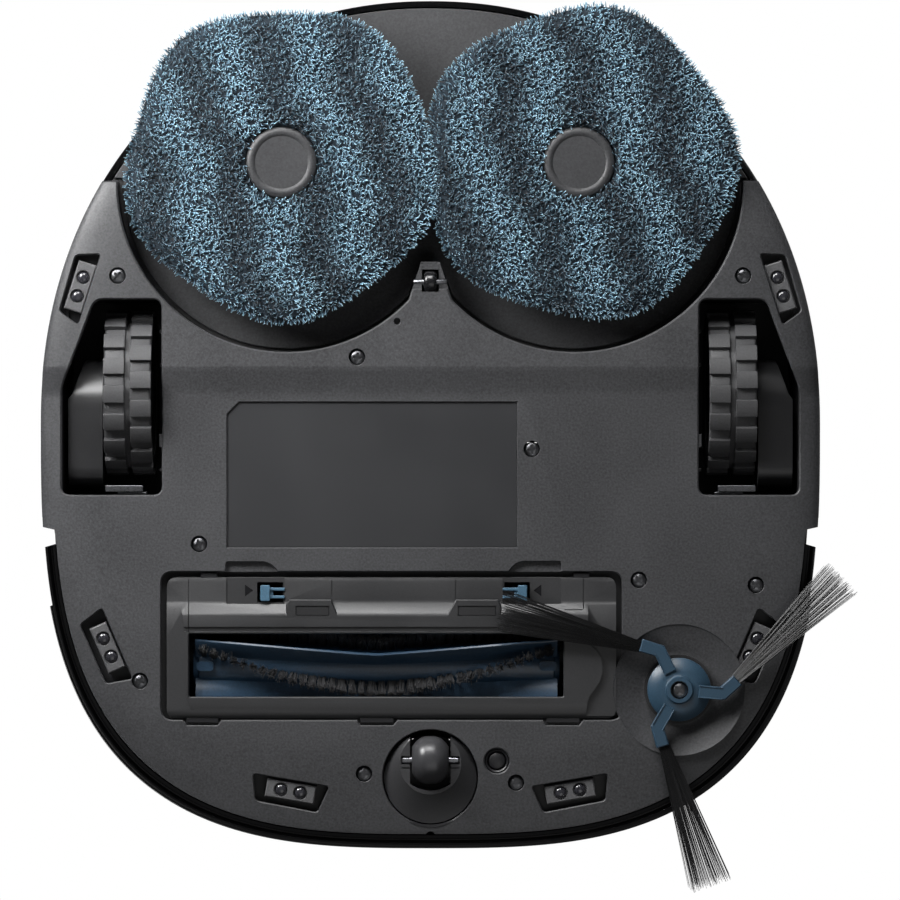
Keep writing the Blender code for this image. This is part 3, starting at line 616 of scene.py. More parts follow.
def wheel_well(side):
    """The wheel opening in the underside."""
    outline = rounded([(112.1, -29.8), (154.2, -29.8), (154.2, 15.0), (145.9, 36.2),
                       (140.2, 51.9), (112.1, 51.9)], 3.8)
    return mirrored(outline, side)


def cliff_outlines():
    """Each cliff sensor's node name and outline."""
    for place, corners in QUADS.items():
        for side, word in SIDES:
            yield f"cliff_sensor_{place}_{word}", mirrored(corners, side)


def bay_outline(radius, edge):
    """The mop bay as a region that runs past the rear of the body."""
    front = bay_front(radius, edge, (9.0, 67.5))
    middle = len(front) // 2
    front[middle - 1], front[middle] = (-3.9, 67.6), (3.9, 67.6)
    return [(200.0, edge), (200.0, 200.0), (-200.0, 200.0), (-200.0, edge)] + front


def plus(centre, reach, half, turn):
    """A cross-shaped outline."""
    corners = [(reach, half), (half, half), (half, reach), (-half, reach), (-half, half),
               (-reach, half), (-reach, -half), (-half, -half), (-half, -reach),
               (half, -reach), (half, -half), (reach, -half)]
    return spun(centre, corners, turn)


def screws(name, spots, radius, low, finish, body, nodes=()):
    """Domed cross-recess screw heads facing down."""
    heads, crosses = [], []
    for number, (x, y, z) in enumerate(spots):
        loop = ((0, z), (radius * 0.45, z + 0.06), (radius * 0.8, z + 0.35), (radius, z + 0.9),
                (radius, z + low), (0, z + low))
        heads.append(turned(loop, (x, y), 28))
        crosses.append(prism(plus((x, y), radius * 0.66, radius * 0.17, 0.7 + 1.3 * number),
                             z - 1.0, z + 1.2))
    made = rough(name, joined(heads))
    carve(made, crosses)
    return finish_piece(made, finish, body, nodes, 0.08, 30)


def base_plate():
    """The underside with its bay, wells, recesses and counterbores, and the label film."""
    loop = [(inset, BASE_Z) for inset in (45, 37, 30, 22, 16, 11, 8, 5.5, 3.5, 2.4, 1.6, 1.0)]
    loop += [(1.0, 25.3), (1.7, 26.0), (3.5, 26.0), (3.5, 16.0), (8, 14.2), (16, 13.4), (30, 12.8),
             (45, PLATE_TOP)]
    plate = rough("base_plate_shell", shell(loop))
    outside = band(notched(-40, -40), notched(-8, FRONT_INSET), 4.0, 32.0)
    carve(plate, [outside])
    high = TRAY_TOP + 4
    bay = pocket(bay_outline(BAY_R, WING_Y), high, 0.7)
    carve(plate, [bay])
    cuts = [pocket(wheel_well(side), high, 0.6) for side in (1, -1)]
    well = rounded(rectangle((-80.0, 112.5), (-123.8, -61.9)), 5.0)
    cuts.append(pocket(well, high, 0.5))
    cuts.append(pocket(circle((0, SWIVEL_Y), SOCKET_R, 72), high, 0.35))
    cuts.append(pocket(circle(CARPET, 5.2, 36), high, 0.5))
    cuts += [pocket(rounded(quad, 1.6), high, 0.45) for _, quad in cliff_outlines()]
    carve(plate, cuts)
    carve(plate, [pocket(circle(SIDE, 27.0, 72), high, 0.3)])
    label = [(-36.2, -51.7), (84.9, -51.7), (84.9, 4.0), (79.9, 9.0), (-36.2, 9.0)]
    shallow = [pocket(label, BASE_Z + 1.1, 0.35)]
    shallow += [pocket(circle(spot, 3.4, 28), PLATE_TOP + 2.5, 0.2) for spot in SCREWS]
    shallow.append(pocket(circle((13.8, 42.6), 1.3, 20), BASE_Z + 2.4, 0.3))
    tab = [(9.6, 56.3), (9.6, 72.0), (-9.6, 72.0), (-9.6, 56.3)]
    shallow.append(pocket(tab, 11.9, 0.4))
    fingers = ([(85.4, -66.0), (85.4, -57.8), (69.5, -57.8), (66.5, -58.8), (64.0, -61.3),
                (62.6, -66.0)],
               [(-54.6, -66.0), (-54.6, -57.6), (-38.2, -57.6), (-35.4, -58.8), (-33.0, -61.3),
                (-31.6, -66.0)])
    shallow += [pocket(rounded(outline, 1.2), PLATE_TOP - 0.9, 0.4) for outline in fingers]
    for low_x, high_x in ((87.4, 103.3), (13.9, 30.6), (-63.7, -47.0)):
        notch = [(low_x + 1.5, -126.0), (high_x - 1.5, -126.0), (high_x, -124.0),
                 (high_x, -120.0), (low_x, -120.0), (low_x, -124.0)]
        shallow.append(pocket(notch, 12.0, 0.4))
    carve(plate, shallow)
    slots = [prism(rectangle((-3.6, 3.6), (55.0, 64.4)), 4.0, 16.0)]
    slots.append(pocket(circle((0.0, -172.6), 1.9, 24), 20.0, 0.2))
    carve(plate, slots)
    shape_underside(plate.data)
    finish_piece(plate, CHARCOAL, "chassis", ("base_plate", "tray_rim"))
    rim = rough("base_plate_rim", band(notched(0.85, FRONT_INSET - 0.15),
                                       notched(1.5, FRONT_INSET + 0.5), 15.4, 25.5))
    carve(rim, [bay])
    carve(rim, [block((-200.0, 200.0), (-200.0, -39.0), (0.0, 40.0))])
    finish_piece(rim, CHARCOAL, "chassis", ("base_plate",))
    piece("rating_label_film", prism(grown(label, -0.25), BASE_Z + 0.9, BASE_Z + 1.2), LABEL,
          "chassis")


def shape_underside(mesh):
    """Cut the plate's faces into strips and lift them to the underside's shape."""
    work = bmesh.new()
    work.from_mesh(mesh)
    rear_step = [12.0, 14.4, 16.8, 19.2, 21.5, 23.7, 24.1]
    chin = list(range(-170, -124, 5))
    planes = [((0, y, 0), (0, 1, 0)) for y in rear_step + chin]
    planes += [((x, 0, 0), (1, 0, 0)) for x in range(-140, 141, 20)]
    for place, normal in planes:
        bmesh.ops.bisect_plane(work, geom=work.verts[:] + work.edges[:] + work.faces[:],
                               plane_co=place, plane_no=normal)
    for vert in work.verts:
        if vert.co.z < PLATE_TOP - 0.1:
            vert.co.z += relief(vert.co.x, vert.co.y)
    work.to_mesh(mesh)
    work.free()


def bay_sheet(name, radius, edge, low, high):
    """A flat sheet over the mop bay, trimmed to the body's rear."""
    sheet = rough(name, prism(hull_ring(3.4), low, high))
    keep = prism(bay_outline(radius, edge), low - 10.0, high + 10.0)
    carve(sheet, [keep], "INTERSECT")
    return carve(sheet, [prism(circle((side * MOP_X, MOP_Y), 14.0, 40), low - 5.0, high + 5.0)
                         for side in (1, -1)])


def mop_deck():
    """Ceiling of the mop bay in a darker copy of the charcoal plastic as painted shade, with a
    dark gutter round it, its wall and spindle collars.
    """
    deck = bay_sheet("mop_bay_deck", BAY_R - 1.7, WING_Y + 1.7, BAY_CEILING, 25.2)
    finish_piece(deck, SHADED_CHARCOAL, "chassis", ("mop_bay_ceiling",), 0.4)
    gutter = bay_sheet("mop_bay_gutter", BAY_R + 1.6, WING_Y - 1.6, 25.3, TRAY_TOP - 0.1)
    finish_piece(gutter, SOFT_BLACK, "chassis", ("mop_bay_ceiling",))
    inner = bay_outline(BAY_R, WING_Y)[4:]
    outer = bay_outline(BAY_R + 1.6, WING_Y)[4:]
    wall = prism(inner + outer[::-1], 11.6, BAY_CEILING + 0.4)
    piece("mop_bay_wall_band", wall, BLACK, "chassis", ("mop_bay_wall",))
    collars = [turned(((14.2, BAY_CEILING - 0.1), (15.0, BAY_CEILING - 0.3),
                       (17.0, BAY_CEILING - 0.3), (18.4, BAY_CEILING + 0.2),
                       (14.2, BAY_CEILING + 0.2)), (side * MOP_X, MOP_Y), 48)
               for side in (1, -1)]
    piece("mop_spindle_collars", joined(collars), BLACK, "chassis", ("mop_bay_ceiling",))


def sockets():
    """Caster socket, side brush dish and seat, brush well liner and carpet sensor."""
    cone = turned(((SOCKET_R + 0.9, BASE_Z + 3.4), (SOCKET_R - 0.1, BASE_Z + 3.6),
                   (SOCKET_R - 0.2, 14.2), (17.2, 24.6), (16.8, 40.0), (18.6, 40.0),
                   (SOCKET_R + 0.9, 15.0)), (0, SWIVEL_Y), 72)
    piece("caster_socket", cone, BLACK, "chassis", ("base_plate",))
    rim = [(27.6 - 12.6 * i / 8, BASE_Z + 0.15 + 4.1 * (i / 8) ** 0.9) for i in range(9)]
    loop = [(5.8, 13.4), (14.6, 13.7)] + rim[::-1] + [(27.6, BASE_Z + 2.5), (20.0, 15.0),
                                                       (5.8, 15.2)]
    piece("side_brush_dish", turned(loop, SIDE, 96), CHARCOAL, "chassis", ("base_plate",),
          angle=50)
    seat = turned(((5.8, 12.2), (14.5, 12.2), (14.5, 14.0), (5.8, 14.0)), SIDE, 72)
    piece("side_brush_seat", seat, SOFT_BLACK, "chassis", ("base_plate",))
    well = rounded(rectangle((-79.5, 112.0), (-123.3, -62.4)), 4.5)
    piece("brush_well_liner", band(grown(well, 1.6), grown(well, -2.6), 14.4, 15.2), SOFT_BLACK,
          "chassis", ("base_plate",))
    ring = turned(((4.1, BASE_Z + 1.3), (4.6, BASE_Z + 1.0), (5.15, BASE_Z + 1.4),
                   (5.15, 15.0), (4.1, 15.0)), CARPET, 40)
    piece("carpet_sensor_ring", ring, BLACK, "chassis", ("base_plate",))
    cap = turned(((0, BASE_Z + 1.5), (3.0, BASE_Z + 1.5), (3.5, BASE_Z + 1.9),
                  (3.8, BASE_Z + 2.6), (3.8, 19.0), (0, 19.0)), CARPET, 40)
    piece("carpet_sensor_cap", cap, BLACK, "chassis", ("carpet_sensor",),
          angle=50)


def heights(spots, drop):
    """Screw places with the underside's own height."""
    return [(x, y, BASE_Z + relief(x, y) + drop) for x, y in spots]


def cliff_sensors():
    """Sensor blocks with two domed lenses each, set in dark pockets."""
    for name, quad in cliff_outlines():
        place, word = name.split("_")[2:]
        corners = [Vector(c) for c in quad]
        middle = sum(corners, Vector((0, 0))) / 4
        edges = [corners[(i + 1) % 4] - corners[i] for i in range(4)]
        longest = max(edges, key=lambda edge: edge.length).normalized()
        across = Vector((-longest.y, longest.x)) * (1 if word == "left" else -1)
        z = BASE_Z + relief(middle.x, middle.y)
        reach, wide = SENSOR_BLOCKS[place]
        box = [tuple(middle + longest * a + across * b) for a, b in rectangle(reach, wide)]
        body = rough(name + "_block", eased(box, z + 0.7, z + 0.7 + 6.8, 0.5))
        lenses = []
        holes = []
        for shift in (-4.1, 4.1):
            spot = middle + longest * (sum(reach) / 2 + shift) + across * (sum(wide) / 2)
            holes.append(prism(circle(spot, 3.0, 28), z - 3, z + 1.9))
            lenses.append(turned(((0, z + 0.5), (1.2, z + 0.65), (2.1, z + 1.15),
                                  (2.7, z + 2.0), (2.7, z + 2.7), (0, z + 2.7)), spot, 28))
        carve(body, holes)
        finish_piece(body, SENSOR, "chassis", (name,), 0.15, 40)
        piece(name + "_lenses", joined(lenses), CLEAR, "chassis", (name,),
              angle=60)
        ground = quad if area_of(quad) > 0 else quad[::-1]
        piece(name + "_floor", prism(grown(ground, 0.8), z + 7.0, z + 7.8), BLACK, "chassis",
              (name,))


def outer_shell():
    """Rear skirt and top panel."""
    profile = ((2.5, 26.4), (0.9, 26.4), (0.25, 27.0), (0.0, 28.2), (0.0, 86.6), (0.35, 87.6),
               (1.0, 88.0), (2.5, 88.0))
    layers = at_heights([(notched(inset, SKIRT_INSET + inset), z) for inset, z in profile])
    wall = rough("body_skirt_shell", tube(layers))
    carve(wall, [block((side * 12.0 - 6.0, side * 12.0 + 6.0), (176.2, 184.0), (37.8, 48.2))
                 for side in (1, -1)])
    finish_piece(wall, CHARCOAL, "chassis", ("body_skirt",))
    profile = [(60.0, TOP_Z), (30.0, TOP_Z), (12.0, 96.9), (7.0, 96.6), (4.0, 95.9), (2.0, 94.6),
               (0.9, 92.8), (0.5, 90.6), (0.5, 88.8), (0.9, 88.35), (3.0, 88.35), (3.0, 94.0),
               (30.0, 94.5), (60.0, 94.5)]
    lid = rough("top_panel_shell", shell(profile))
    holes = [prism(rounded(rectangle((-60.4, 60.4), (-95.4, -7.6)), 5.0), 85, 105),
             prism(circle((0, LIDAR_Y), 41.0, 96), 85, 105)]
    holes += [prism(circle((side * KEY_X, KEY_Y), 7.4, 48), 85, 105) for side in (1, -1)]
    carve(lid, holes)
    carve(lid, [band(rounded(rectangle((-68.0, 68.0), (-104.0, 92.0)), 16.0, 10),
                     rounded(rectangle((-67.0, 67.0), (-103.0, 91.0)), 15.4, 10),
                     TOP_Z - 0.7, TOP_Z + 1)])
    finish_piece(lid, CHARCOAL, "chassis", ("top_panel",), 0.35)


def bumper():
    """Bumper wall with its grooved lower lip, rubber strip and sensor window."""
    wall = ((1.3, 16.8), (1.3, 30.4), (1.3, 85.6), (1.7, 86.9), (2.6, 87.7), (3.8, 88.0),
            (3.8, 18.0), (6.0, 17.5), (6.0, 15.8), (5.7, 15.4), (4.5, 15.2), (4.2, 15.5),
            (4.1, 16.6), (3.6, 16.6), (2.9, 13.5), (2.5, 12.8), (1.9, 12.7), (1.45, 13.2))
    shape = rough("bumper_wall", swept(wall, front_station, 200))
    cuts = [block((-30.6, 30.6), (-190.0, -165.0), (49.6, 72.4)),
            block((-4.0, 4.0), (-174.6, -172.6), (8.0, 14.4))]
    carve(shape, cuts)
    finish_piece(shape, BLACK, "bumper", ("bumper_shell",), 0.0, 40)
    strip = ((0.45, 17.0), (0.1, 17.5), (0.0, 18.6), (0.0, 22.9), (0.35, 23.3), (0.35, 23.9),
             (0.0, 24.3), (0.0, 28.6), (0.1, 29.6), (0.45, 30.0), (1.2, 30.0), (1.2, 17.0))
    piece("bumper_rubber_strip",
          swept(strip, lambda share, inset: front_station(0.045 + 0.91 * share, inset), 180),
          SOFT_BLACK, "bumper", ("bumper_strip",))
    pane = ((1.35, 50.0), (1.35, 72.0), (3.8, 72.0), (3.8, 50.0))

    def window(share, inset):
        x = 30.2 - 60.4 * share
        reach = 1 - (abs(x) / (HALF_WIDTH - inset)) ** FRONT_POWER
        return x, -(HALF_LENGTH - inset) * reach ** (1 / FRONT_POWER)

    piece("bumper_window", swept(pane, window, 24), LENS, "bumper", ("sensor_window",),
          0.3)


def contacts():
    """Charging contacts with softened edges."""
    for _, word in SIDES:
        low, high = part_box(f"charging_contact_{word}")
        mid = ((low + high) / 2 - ORIGIN) / MM
        plate = rough(f"contact_plate_{word}",
                      block((mid.x - 5.4, mid.x + 5.4), (176.3, 177.7), (38.6, 47.4)))
        finish_piece(plate, STEEL, "chassis", (f"charging_contact_{word}",), 0.5,
                     segments=3)


# --- drive wheels ------------------------------------------------------------------

def tyre(side, word):
    """Tyre with two staggered rows of lugs on a grooved carcass."""
    mid = side * WHEEL_X
    floor = WHEEL_R - 2.1
    loop = ((26.2, mid - 9.6), (31.6, mid - 9.9), (floor - 0.3, mid - 9.4), (floor, mid - 8.8),
            (floor, mid - 1.5), (floor - 0.8, mid - 0.9), (floor - 0.8, mid + 0.9),
            (floor, mid + 1.5), (floor, mid + 8.8), (floor - 0.3, mid + 9.4),
            (31.6, mid + 9.9), (26.2, mid + 9.6))
    shapes = [along_x(turned(loop, (WHEEL_Y, WHEEL_R), 90))]
    count = 18
    pitch = 2 * math.pi / count
    for row, (near, far) in enumerate(((1.15, 10.0), (-10.0, -1.15))):
        for i in range(count):
            start = (i + 0.5 * row + 0.11) * pitch
            layers = []
            for k in range(5):
                angle = start + pitch * 0.6 * k / 4
                lift = 0.75 if k in (0, 4) else 0.0
                c, s = math.cos(angle), math.sin(angle)
                layers.append([(mid + x, WHEEL_Y + r * c, WHEEL_R + r * s) for x, r in (
                    (near, floor - 0.6), (far, floor - 0.6), (far, WHEEL_R - 0.05 - lift * 0.3),
                    (near, WHEEL_R - 0.05 - lift * 0.3))])
            shapes.append(loft(layers))
    piece(f"tyre_{word}_tread", joined(shapes), RUBBER, f"drive_wheel_{word}",
          (f"tyre_{word}",), 0.28, 30)


def hub(side, word):
    """Wheel hub with six ribs."""
    mid = side * WHEEL_X
    loop = ((4.0, mid - 8.6), (9.0, mid - 8.8), (11.0, mid - 6.4), (21.5, mid - 6.4),
            (23.6, mid - 9.2), (26.1, mid - 9.3), (26.1, mid + 9.3), (23.6, mid + 9.2),
            (21.5, mid + 6.4), (11.0, mid + 6.4), (9.0, mid + 8.8), (4.0, mid + 8.6))
    shapes = [along_x(turned(loop, (WHEEL_Y, WHEEL_R), 60))]
    for i in range(6):
        rib = spun((WHEEL_Y, WHEEL_R), rectangle((8.0, 23.0), (-1.1, 1.1)), math.pi / 3 * i)
        shapes.append(along_x(prism(rib, mid - 8.4, mid + 8.4)))
    piece(f"wheel_hub_{word}_ribbed", joined(shapes), BLACK, f"drive_wheel_{word}",
          (f"wheel_hub_{word}",), 0.25)


def swing_arm(side, word):
    """Gearbox arm beside the wheel, with a seam round its case, and the wheel's axle."""
    outline = [(-29.0, 38.0), (-28.4, 27.0), (-25.5, 20.0), (-22.5, 16.6), (-19.5, 15.4),
               (8.5, 14.6), (13.0, 15.0), (17.5, 16.9), (21.5, 19.6), (24.4, 23.0),
               (26.6, 28.5), (27.0, 43.0), (22.0, 50.5), (10.0, 52.0), (-18.0, 49.0),
               (-27.0, 45.0)]
    smooth = rounded(outline, 4.0, 4)
    x = span(side, 137.2, 151.8)
    arm = rough(f"wheel_arm_{word}_case", along_x(prism(smooth, *x)))
    wedge = [(153.0, 9.0), (150.0, 12.5), (144.2, 30.0), (144.0, 60.0), (170.0, 60.0),
             (170.0, 9.0)]
    carve(arm, [prism(mirrored(wedge, side), 5.0, 70.0)])
    seam = along_x(prism(rectangle((-40.0, 40.0), (40.0, 41.0)), *span(side, 150.8, 160.0)))
    carve(arm, [seam])
    for vert in arm.data.vertices:
        if vert.co.z < 32.0:
            vert.co.z += 0.16 * (abs(vert.co.x) - 137.2)
    name = f"swing_arm_{word}"
    finish_piece(arm, ARM, name, (f"wheel_arm_{word}",), 0.7, 30, 3)
    reach = span(side, 117.8, 140.0)
    axle = along_x(turned(((0, reach[0]), (3.2, reach[0]), (3.7, reach[0] + 0.6),
                           (3.7, reach[1]), (0, reach[1])), (WHEEL_Y, WHEEL_R), 28))
    piece(f"wheel_axle_{word}", axle, STEEL, name, (f"wheel_arm_{word}",))


def springs(side, word):
    """Spring plate, its tab and a small catch in each wheel well."""
    shapes = [block(span(side, 120.3, 136.1), (-28.4, -25.8), (14.4, 15.4)),
              block(span(side, 119.0, 131.0), (-29.4, -28.6), (16.5, 24.0))]
    piece(f"wheel_spring_plate_{word}", joined(shapes), STEEL, "chassis",
          (f"wheel_housing_{word}",), 0.3)
    ledge = block(span(side, 111.9, 113.3), (-9.8, -4.4), (10.6, 14.0))
    piece(f"wheel_well_catch_{word}", ledge, CHARCOAL, "chassis", (f"wheel_housing_{word}",),
          0.2)


def housings(side, word):
    """Inside of the wheel well: a box with ribs, and a slot for the arm at full drop."""
    low, high = PLATE_TOP + 0.6, 74.5
    outer = [(110.3, -31.7), (155.7, -31.7), (155.7, 16.0), (152.5, 53.7), (110.3, 53.7)]
    inner = [(112.2, -29.9), (153.9, -29.9), (153.9, 16.0), (150.9, 51.9), (112.2, 51.9)]
    case = rough(f"wheel_well_case_{word}", prism(mirrored(outer, side), low, high))
    carve(case, [prism(mirrored(inner, side), low - 4, high - 1.5)])
    bay = circle((side * BAY_X, BAY_Y), BAY_R + 2.8, 96)
    carve(case, [prism(bay, low - 2, TRAY_TOP + 0.3)])
    carve(case, [block(span(side, 136.0, 153.2), (-33.0, -28.0), (14.6, 44.0))])
    finish_piece(case, BLACK, "chassis", (f"wheel_housing_{word}",), 0.4)
    ribs = [block(span(side, 112.1, 113.3), (y, y + 1.2), (14.0, 60.0))
            for y in (-20.0, 24.0, 38.0)]
    piece(f"wheel_well_ribs_{word}", joined(ribs), BLACK, "chassis",
          (f"wheel_housing_{word}",), 0.2)


# --- caster and idler --------------------------------------------------------------

def caster():
    """Swivel block with its conical front, barrel wheel and pin, and the idler roller."""
    rings = ((-141.9, 12.9, 8.2), (-141.9, 13.4, 8.6), (SWIVEL_Y, 19.3, 12.9),
             (SWIVEL_Y, 19.5, 13.6), (SWIVEL_Y, 16.4, 23.8), (SWIVEL_Y, 5.0, 24.0),
             (SWIVEL_Y, 5.0, 42.0))
    fork = rough("caster_swivel_block", loft(at_heights(
        [(circle((0.0, y), radius, 96), z) for y, radius, z in rings])))
    slot = [(8.5, -150.4), (8.5, -124.0), (-8.5, -124.0), (-8.5, -150.4)]
    slot += [(8.5 * i / 8, -150.4 - 2.8 * (1 - (i / 8) ** 2)) for i in range(-7, 8)]
    carve(fork, [prism(slot, 4.0, 21.6)])
    carve(fork, [block((-12.2, 12.2), (CASTER_Y - 1.7, CASTER_Y + 1.7), (4.0, 11.6)),
                 block((-12.0, 12.0), (CASTER_Y - 3.5, CASTER_Y - 2.9), (4.0, 8.9))])
    finish_piece(fork, FORK, "caster_swivel", ("caster_fork",), 0.35, 30)
    half = 7.7
    barrel = [(1.8, -half)]
    for i in range(17):
        share = -1 + 2 * i / 16
        barrel.append((CASTER_R - 4.4 * abs(share) ** 2.8, half * share * 0.995))
    barrel.append((1.8, half))
    piece("caster_barrel_wheel", along_x(turned(barrel, (CASTER_Y, CASTER_R), 64)), SHEEN,
          "caster_roller", ("caster_wheel",), angle=50)
    pin = along_x(turned(((0, -12.0), (1.2, -12.0), (1.5, -11.6), (1.5, 11.6), (1.2, 12.0),
                          (0, 12.0)), (CASTER_Y, CASTER_R), 24))
    piece("caster_axle_pin", pin, STEEL, "caster_swivel", ("caster_axle",))
    drum = [(0, -2.7), (3.4, -2.7), (4.2, -2.2), (4.5, -1.2), (4.5, 1.2), (4.2, 2.2), (3.4, 2.7),
            (0, 2.7)]
    piece("idler_drum", along_x(turned(drum, (59.2, 9.2), 40)), GLOSS, "idler",
          ("idler_roller",), angle=50)
    rod = along_x(turned(((0, -7.0), (1.0, -7.0), (1.2, -6.7), (1.2, 6.7), (1.0, 7.0), (0, 7.0)),
                         (59.2, 9.2), 20))
    piece("idler_pin", rod, STEEL, "idler", ("idler_roller",))


# --- main brush --------------------------------------------------------------------

def chevron(share, middle, turn, power):
    """A row's angle from straight down, at a place along the brush from 0 to 1."""
    return middle + turn * abs(2 * share - 1) ** power


def main_brush():
    """Roller core with four soft fins and four rows of bristle tufts."""
    length = BRUSH_X[1] - BRUSH_X[0]
    loop = [(0, BRUSH_X[0] + 0.5), (8.0, BRUSH_X[0] + 0.5), (8.4, BRUSH_X[0] + 2.5),
            (9.4, BRUSH_X[0] + 3.0), (9.7, BRUSH_X[0] + 6.0), (9.7, BRUSH_X[1] - 6.0),
            (9.4, BRUSH_X[1] - 3.0), (8.4, BRUSH_X[1] - 2.5), (8.0, BRUSH_X[1] - 0.5),
            (0, BRUSH_X[1] - 0.5)]
    shapes = [along_x(turned(loop, (BRUSH_Y, BRUSH_Z), 72))]
    steps = 60
    for middle in (15.0, 105.0, 195.0, 285.0):
        layers = []
        for s in range(steps + 1):
            share = s / steps
            x = BRUSH_X[0] + 1.5 + (length - 3.0) * share
            angle = math.radians(chevron(share, middle, 23.0, 1.15))
            section = ((9.0, -2.6), (12.2, -1.3), (FIN_R - 0.5, -0.75), (FIN_R - 0.05, -0.35),
                       (FIN_R - 0.05, 0.35), (FIN_R - 0.5, 0.75), (12.2, 1.3), (9.0, 2.6))
            row = []
            for r, t in section:
                y = r * math.sin(angle) + t * math.cos(angle)
                z = -r * math.cos(angle) + t * math.sin(angle)
                row.append((x, BRUSH_Y + y, BRUSH_Z + z))
            layers.append(row)
        shapes.append(loft(layers))
    for x in (BRUSH_X[0] + 2.0, BRUSH_X[1] - 9.0):
        key = rounded(rectangle((x, x + 7.0), (-103.4, -99.4)), 1.6)
        shapes.append(prism(key, BRUSH_Z - 11.0, BRUSH_Z - 8.0))
    piece("brush_core", joined(shapes), NAVY, "roller_brush", ("main_brush",),
          angle=40)
    rng = np.random.RandomState(7)
    roots, ways, sizes, tone_and_sheens = [], [], [], []
    count = 36
    for middle in (-48.0, 42.0, 132.0, 222.0):
        for i in range(count):
            share = (i + 0.5) / count
            x = BRUSH_X[0] + 3.0 + (length - 6.0) * share
            angle = chevron(share, middle, 76.0, 1.42)
            for _ in range(60):
                turn = math.radians(angle + rng.normal(0, 2.4))
                lean = rng.normal(0, 0.10)
                root = (x + rng.normal(0, 0.75), BRUSH_Y + TUFT_R * math.sin(turn),
                        BRUSH_Z - TUFT_R * math.cos(turn))
                splay = math.radians(angle + rng.normal(0, 8.0))
                roots.append(root)
                ways.append((lean, math.sin(splay), -math.cos(splay)))
                sizes.append(8.0 * rng.uniform(0.9, 1.0))
                tone_and_sheens.append(rng.uniform(0.2, 1.0))
    threads("brush_tufts", roots, ways, sizes, 0.17, tone_and_sheens, BRISTLE, "roller_brush",
            ("main_brush",), blunt=0.8)


def threads(name, roots, ways, sizes, radius, tone_and_sheens, finish, body, nodes, blunt):
    """Many tapered threads as one mesh, coloured by place along, which the fibre material turns
    into painted shade at the root and a painted highlight at the tip, and by tone and painted
    sheen.
    """
    roots, ways = np.array(roots, float), np.array(ways, float)
    sizes, tone_and_sheens = np.array(sizes, float), np.array(tone_and_sheens, float)
    ways /= np.linalg.norm(ways, axis=1)[:, None]
    helper = np.where(np.abs(ways[:, 2:3]) < 0.8, np.array([[0, 0, 1.0]]), np.array([[1.0, 0, 0]]))
    one = np.cross(ways, helper)
    one /= np.linalg.norm(one, axis=1)[:, None]
    two = np.cross(ways, one)
    rings = ((0.0, 1.0), (0.5, 0.9), (1.0, blunt))
    count = len(roots)
    points, along = [], []
    for share, width in rings:
        centre = roots + ways * (sizes * share)[:, None]
        centre[:, 2] = np.maximum(centre[:, 2], THREAD_FLOOR)
        for corner in range(3):
            angle = 2 * math.pi * corner / 3
            offset = one * math.cos(angle) + two * math.sin(angle)
            points.append(centre + offset * (radius * width))
            along.append(np.full(count, share))
    stack = np.stack(points, axis=1)
    shares = np.stack(along, axis=1)
    per = stack.shape[1]
    pattern = []
    for k in range(2):
        for i in range(3):
            j = (i + 1) % 3
            pattern.append((3 * k + i, 3 * k + j, 3 * k + 3 + j, 3 * k + 3 + i))
    first = (np.arange(count) * per)[:, None, None]
    quads = np.array(pattern)[None, :, :] + first
    ends = np.array(((6, 7, 8), (2, 1, 0)))[None, :, :] + first
    faces = [tuple(q) for q in quads.reshape(-1, 4).tolist()]
    faces += [tuple(t) for t in ends.reshape(-1, 3).tolist()]
    mesh = bpy.data.meshes.new(name)
    mesh.from_pydata(stack.reshape(-1, 3).tolist(), [], faces)
    colors = np.zeros((count * per, 4), np.float32)
    colors[:, 0] = shares.reshape(-1)
    colors[:, 1] = np.repeat(np.clip(tone_and_sheens, 0, 1), per)
    colors[:, 3] = 1.0
    layer = mesh.color_attributes.new(THREAD_COLORS, "FLOAT_COLOR", "POINT")
    layer.data.foreach_set("color", colors.ravel())
    made = bpy.data.objects.new(name, mesh)
    bpy.context.collection.objects.link(made)
    return finish_piece(made, finish, body, nodes, angle=80)


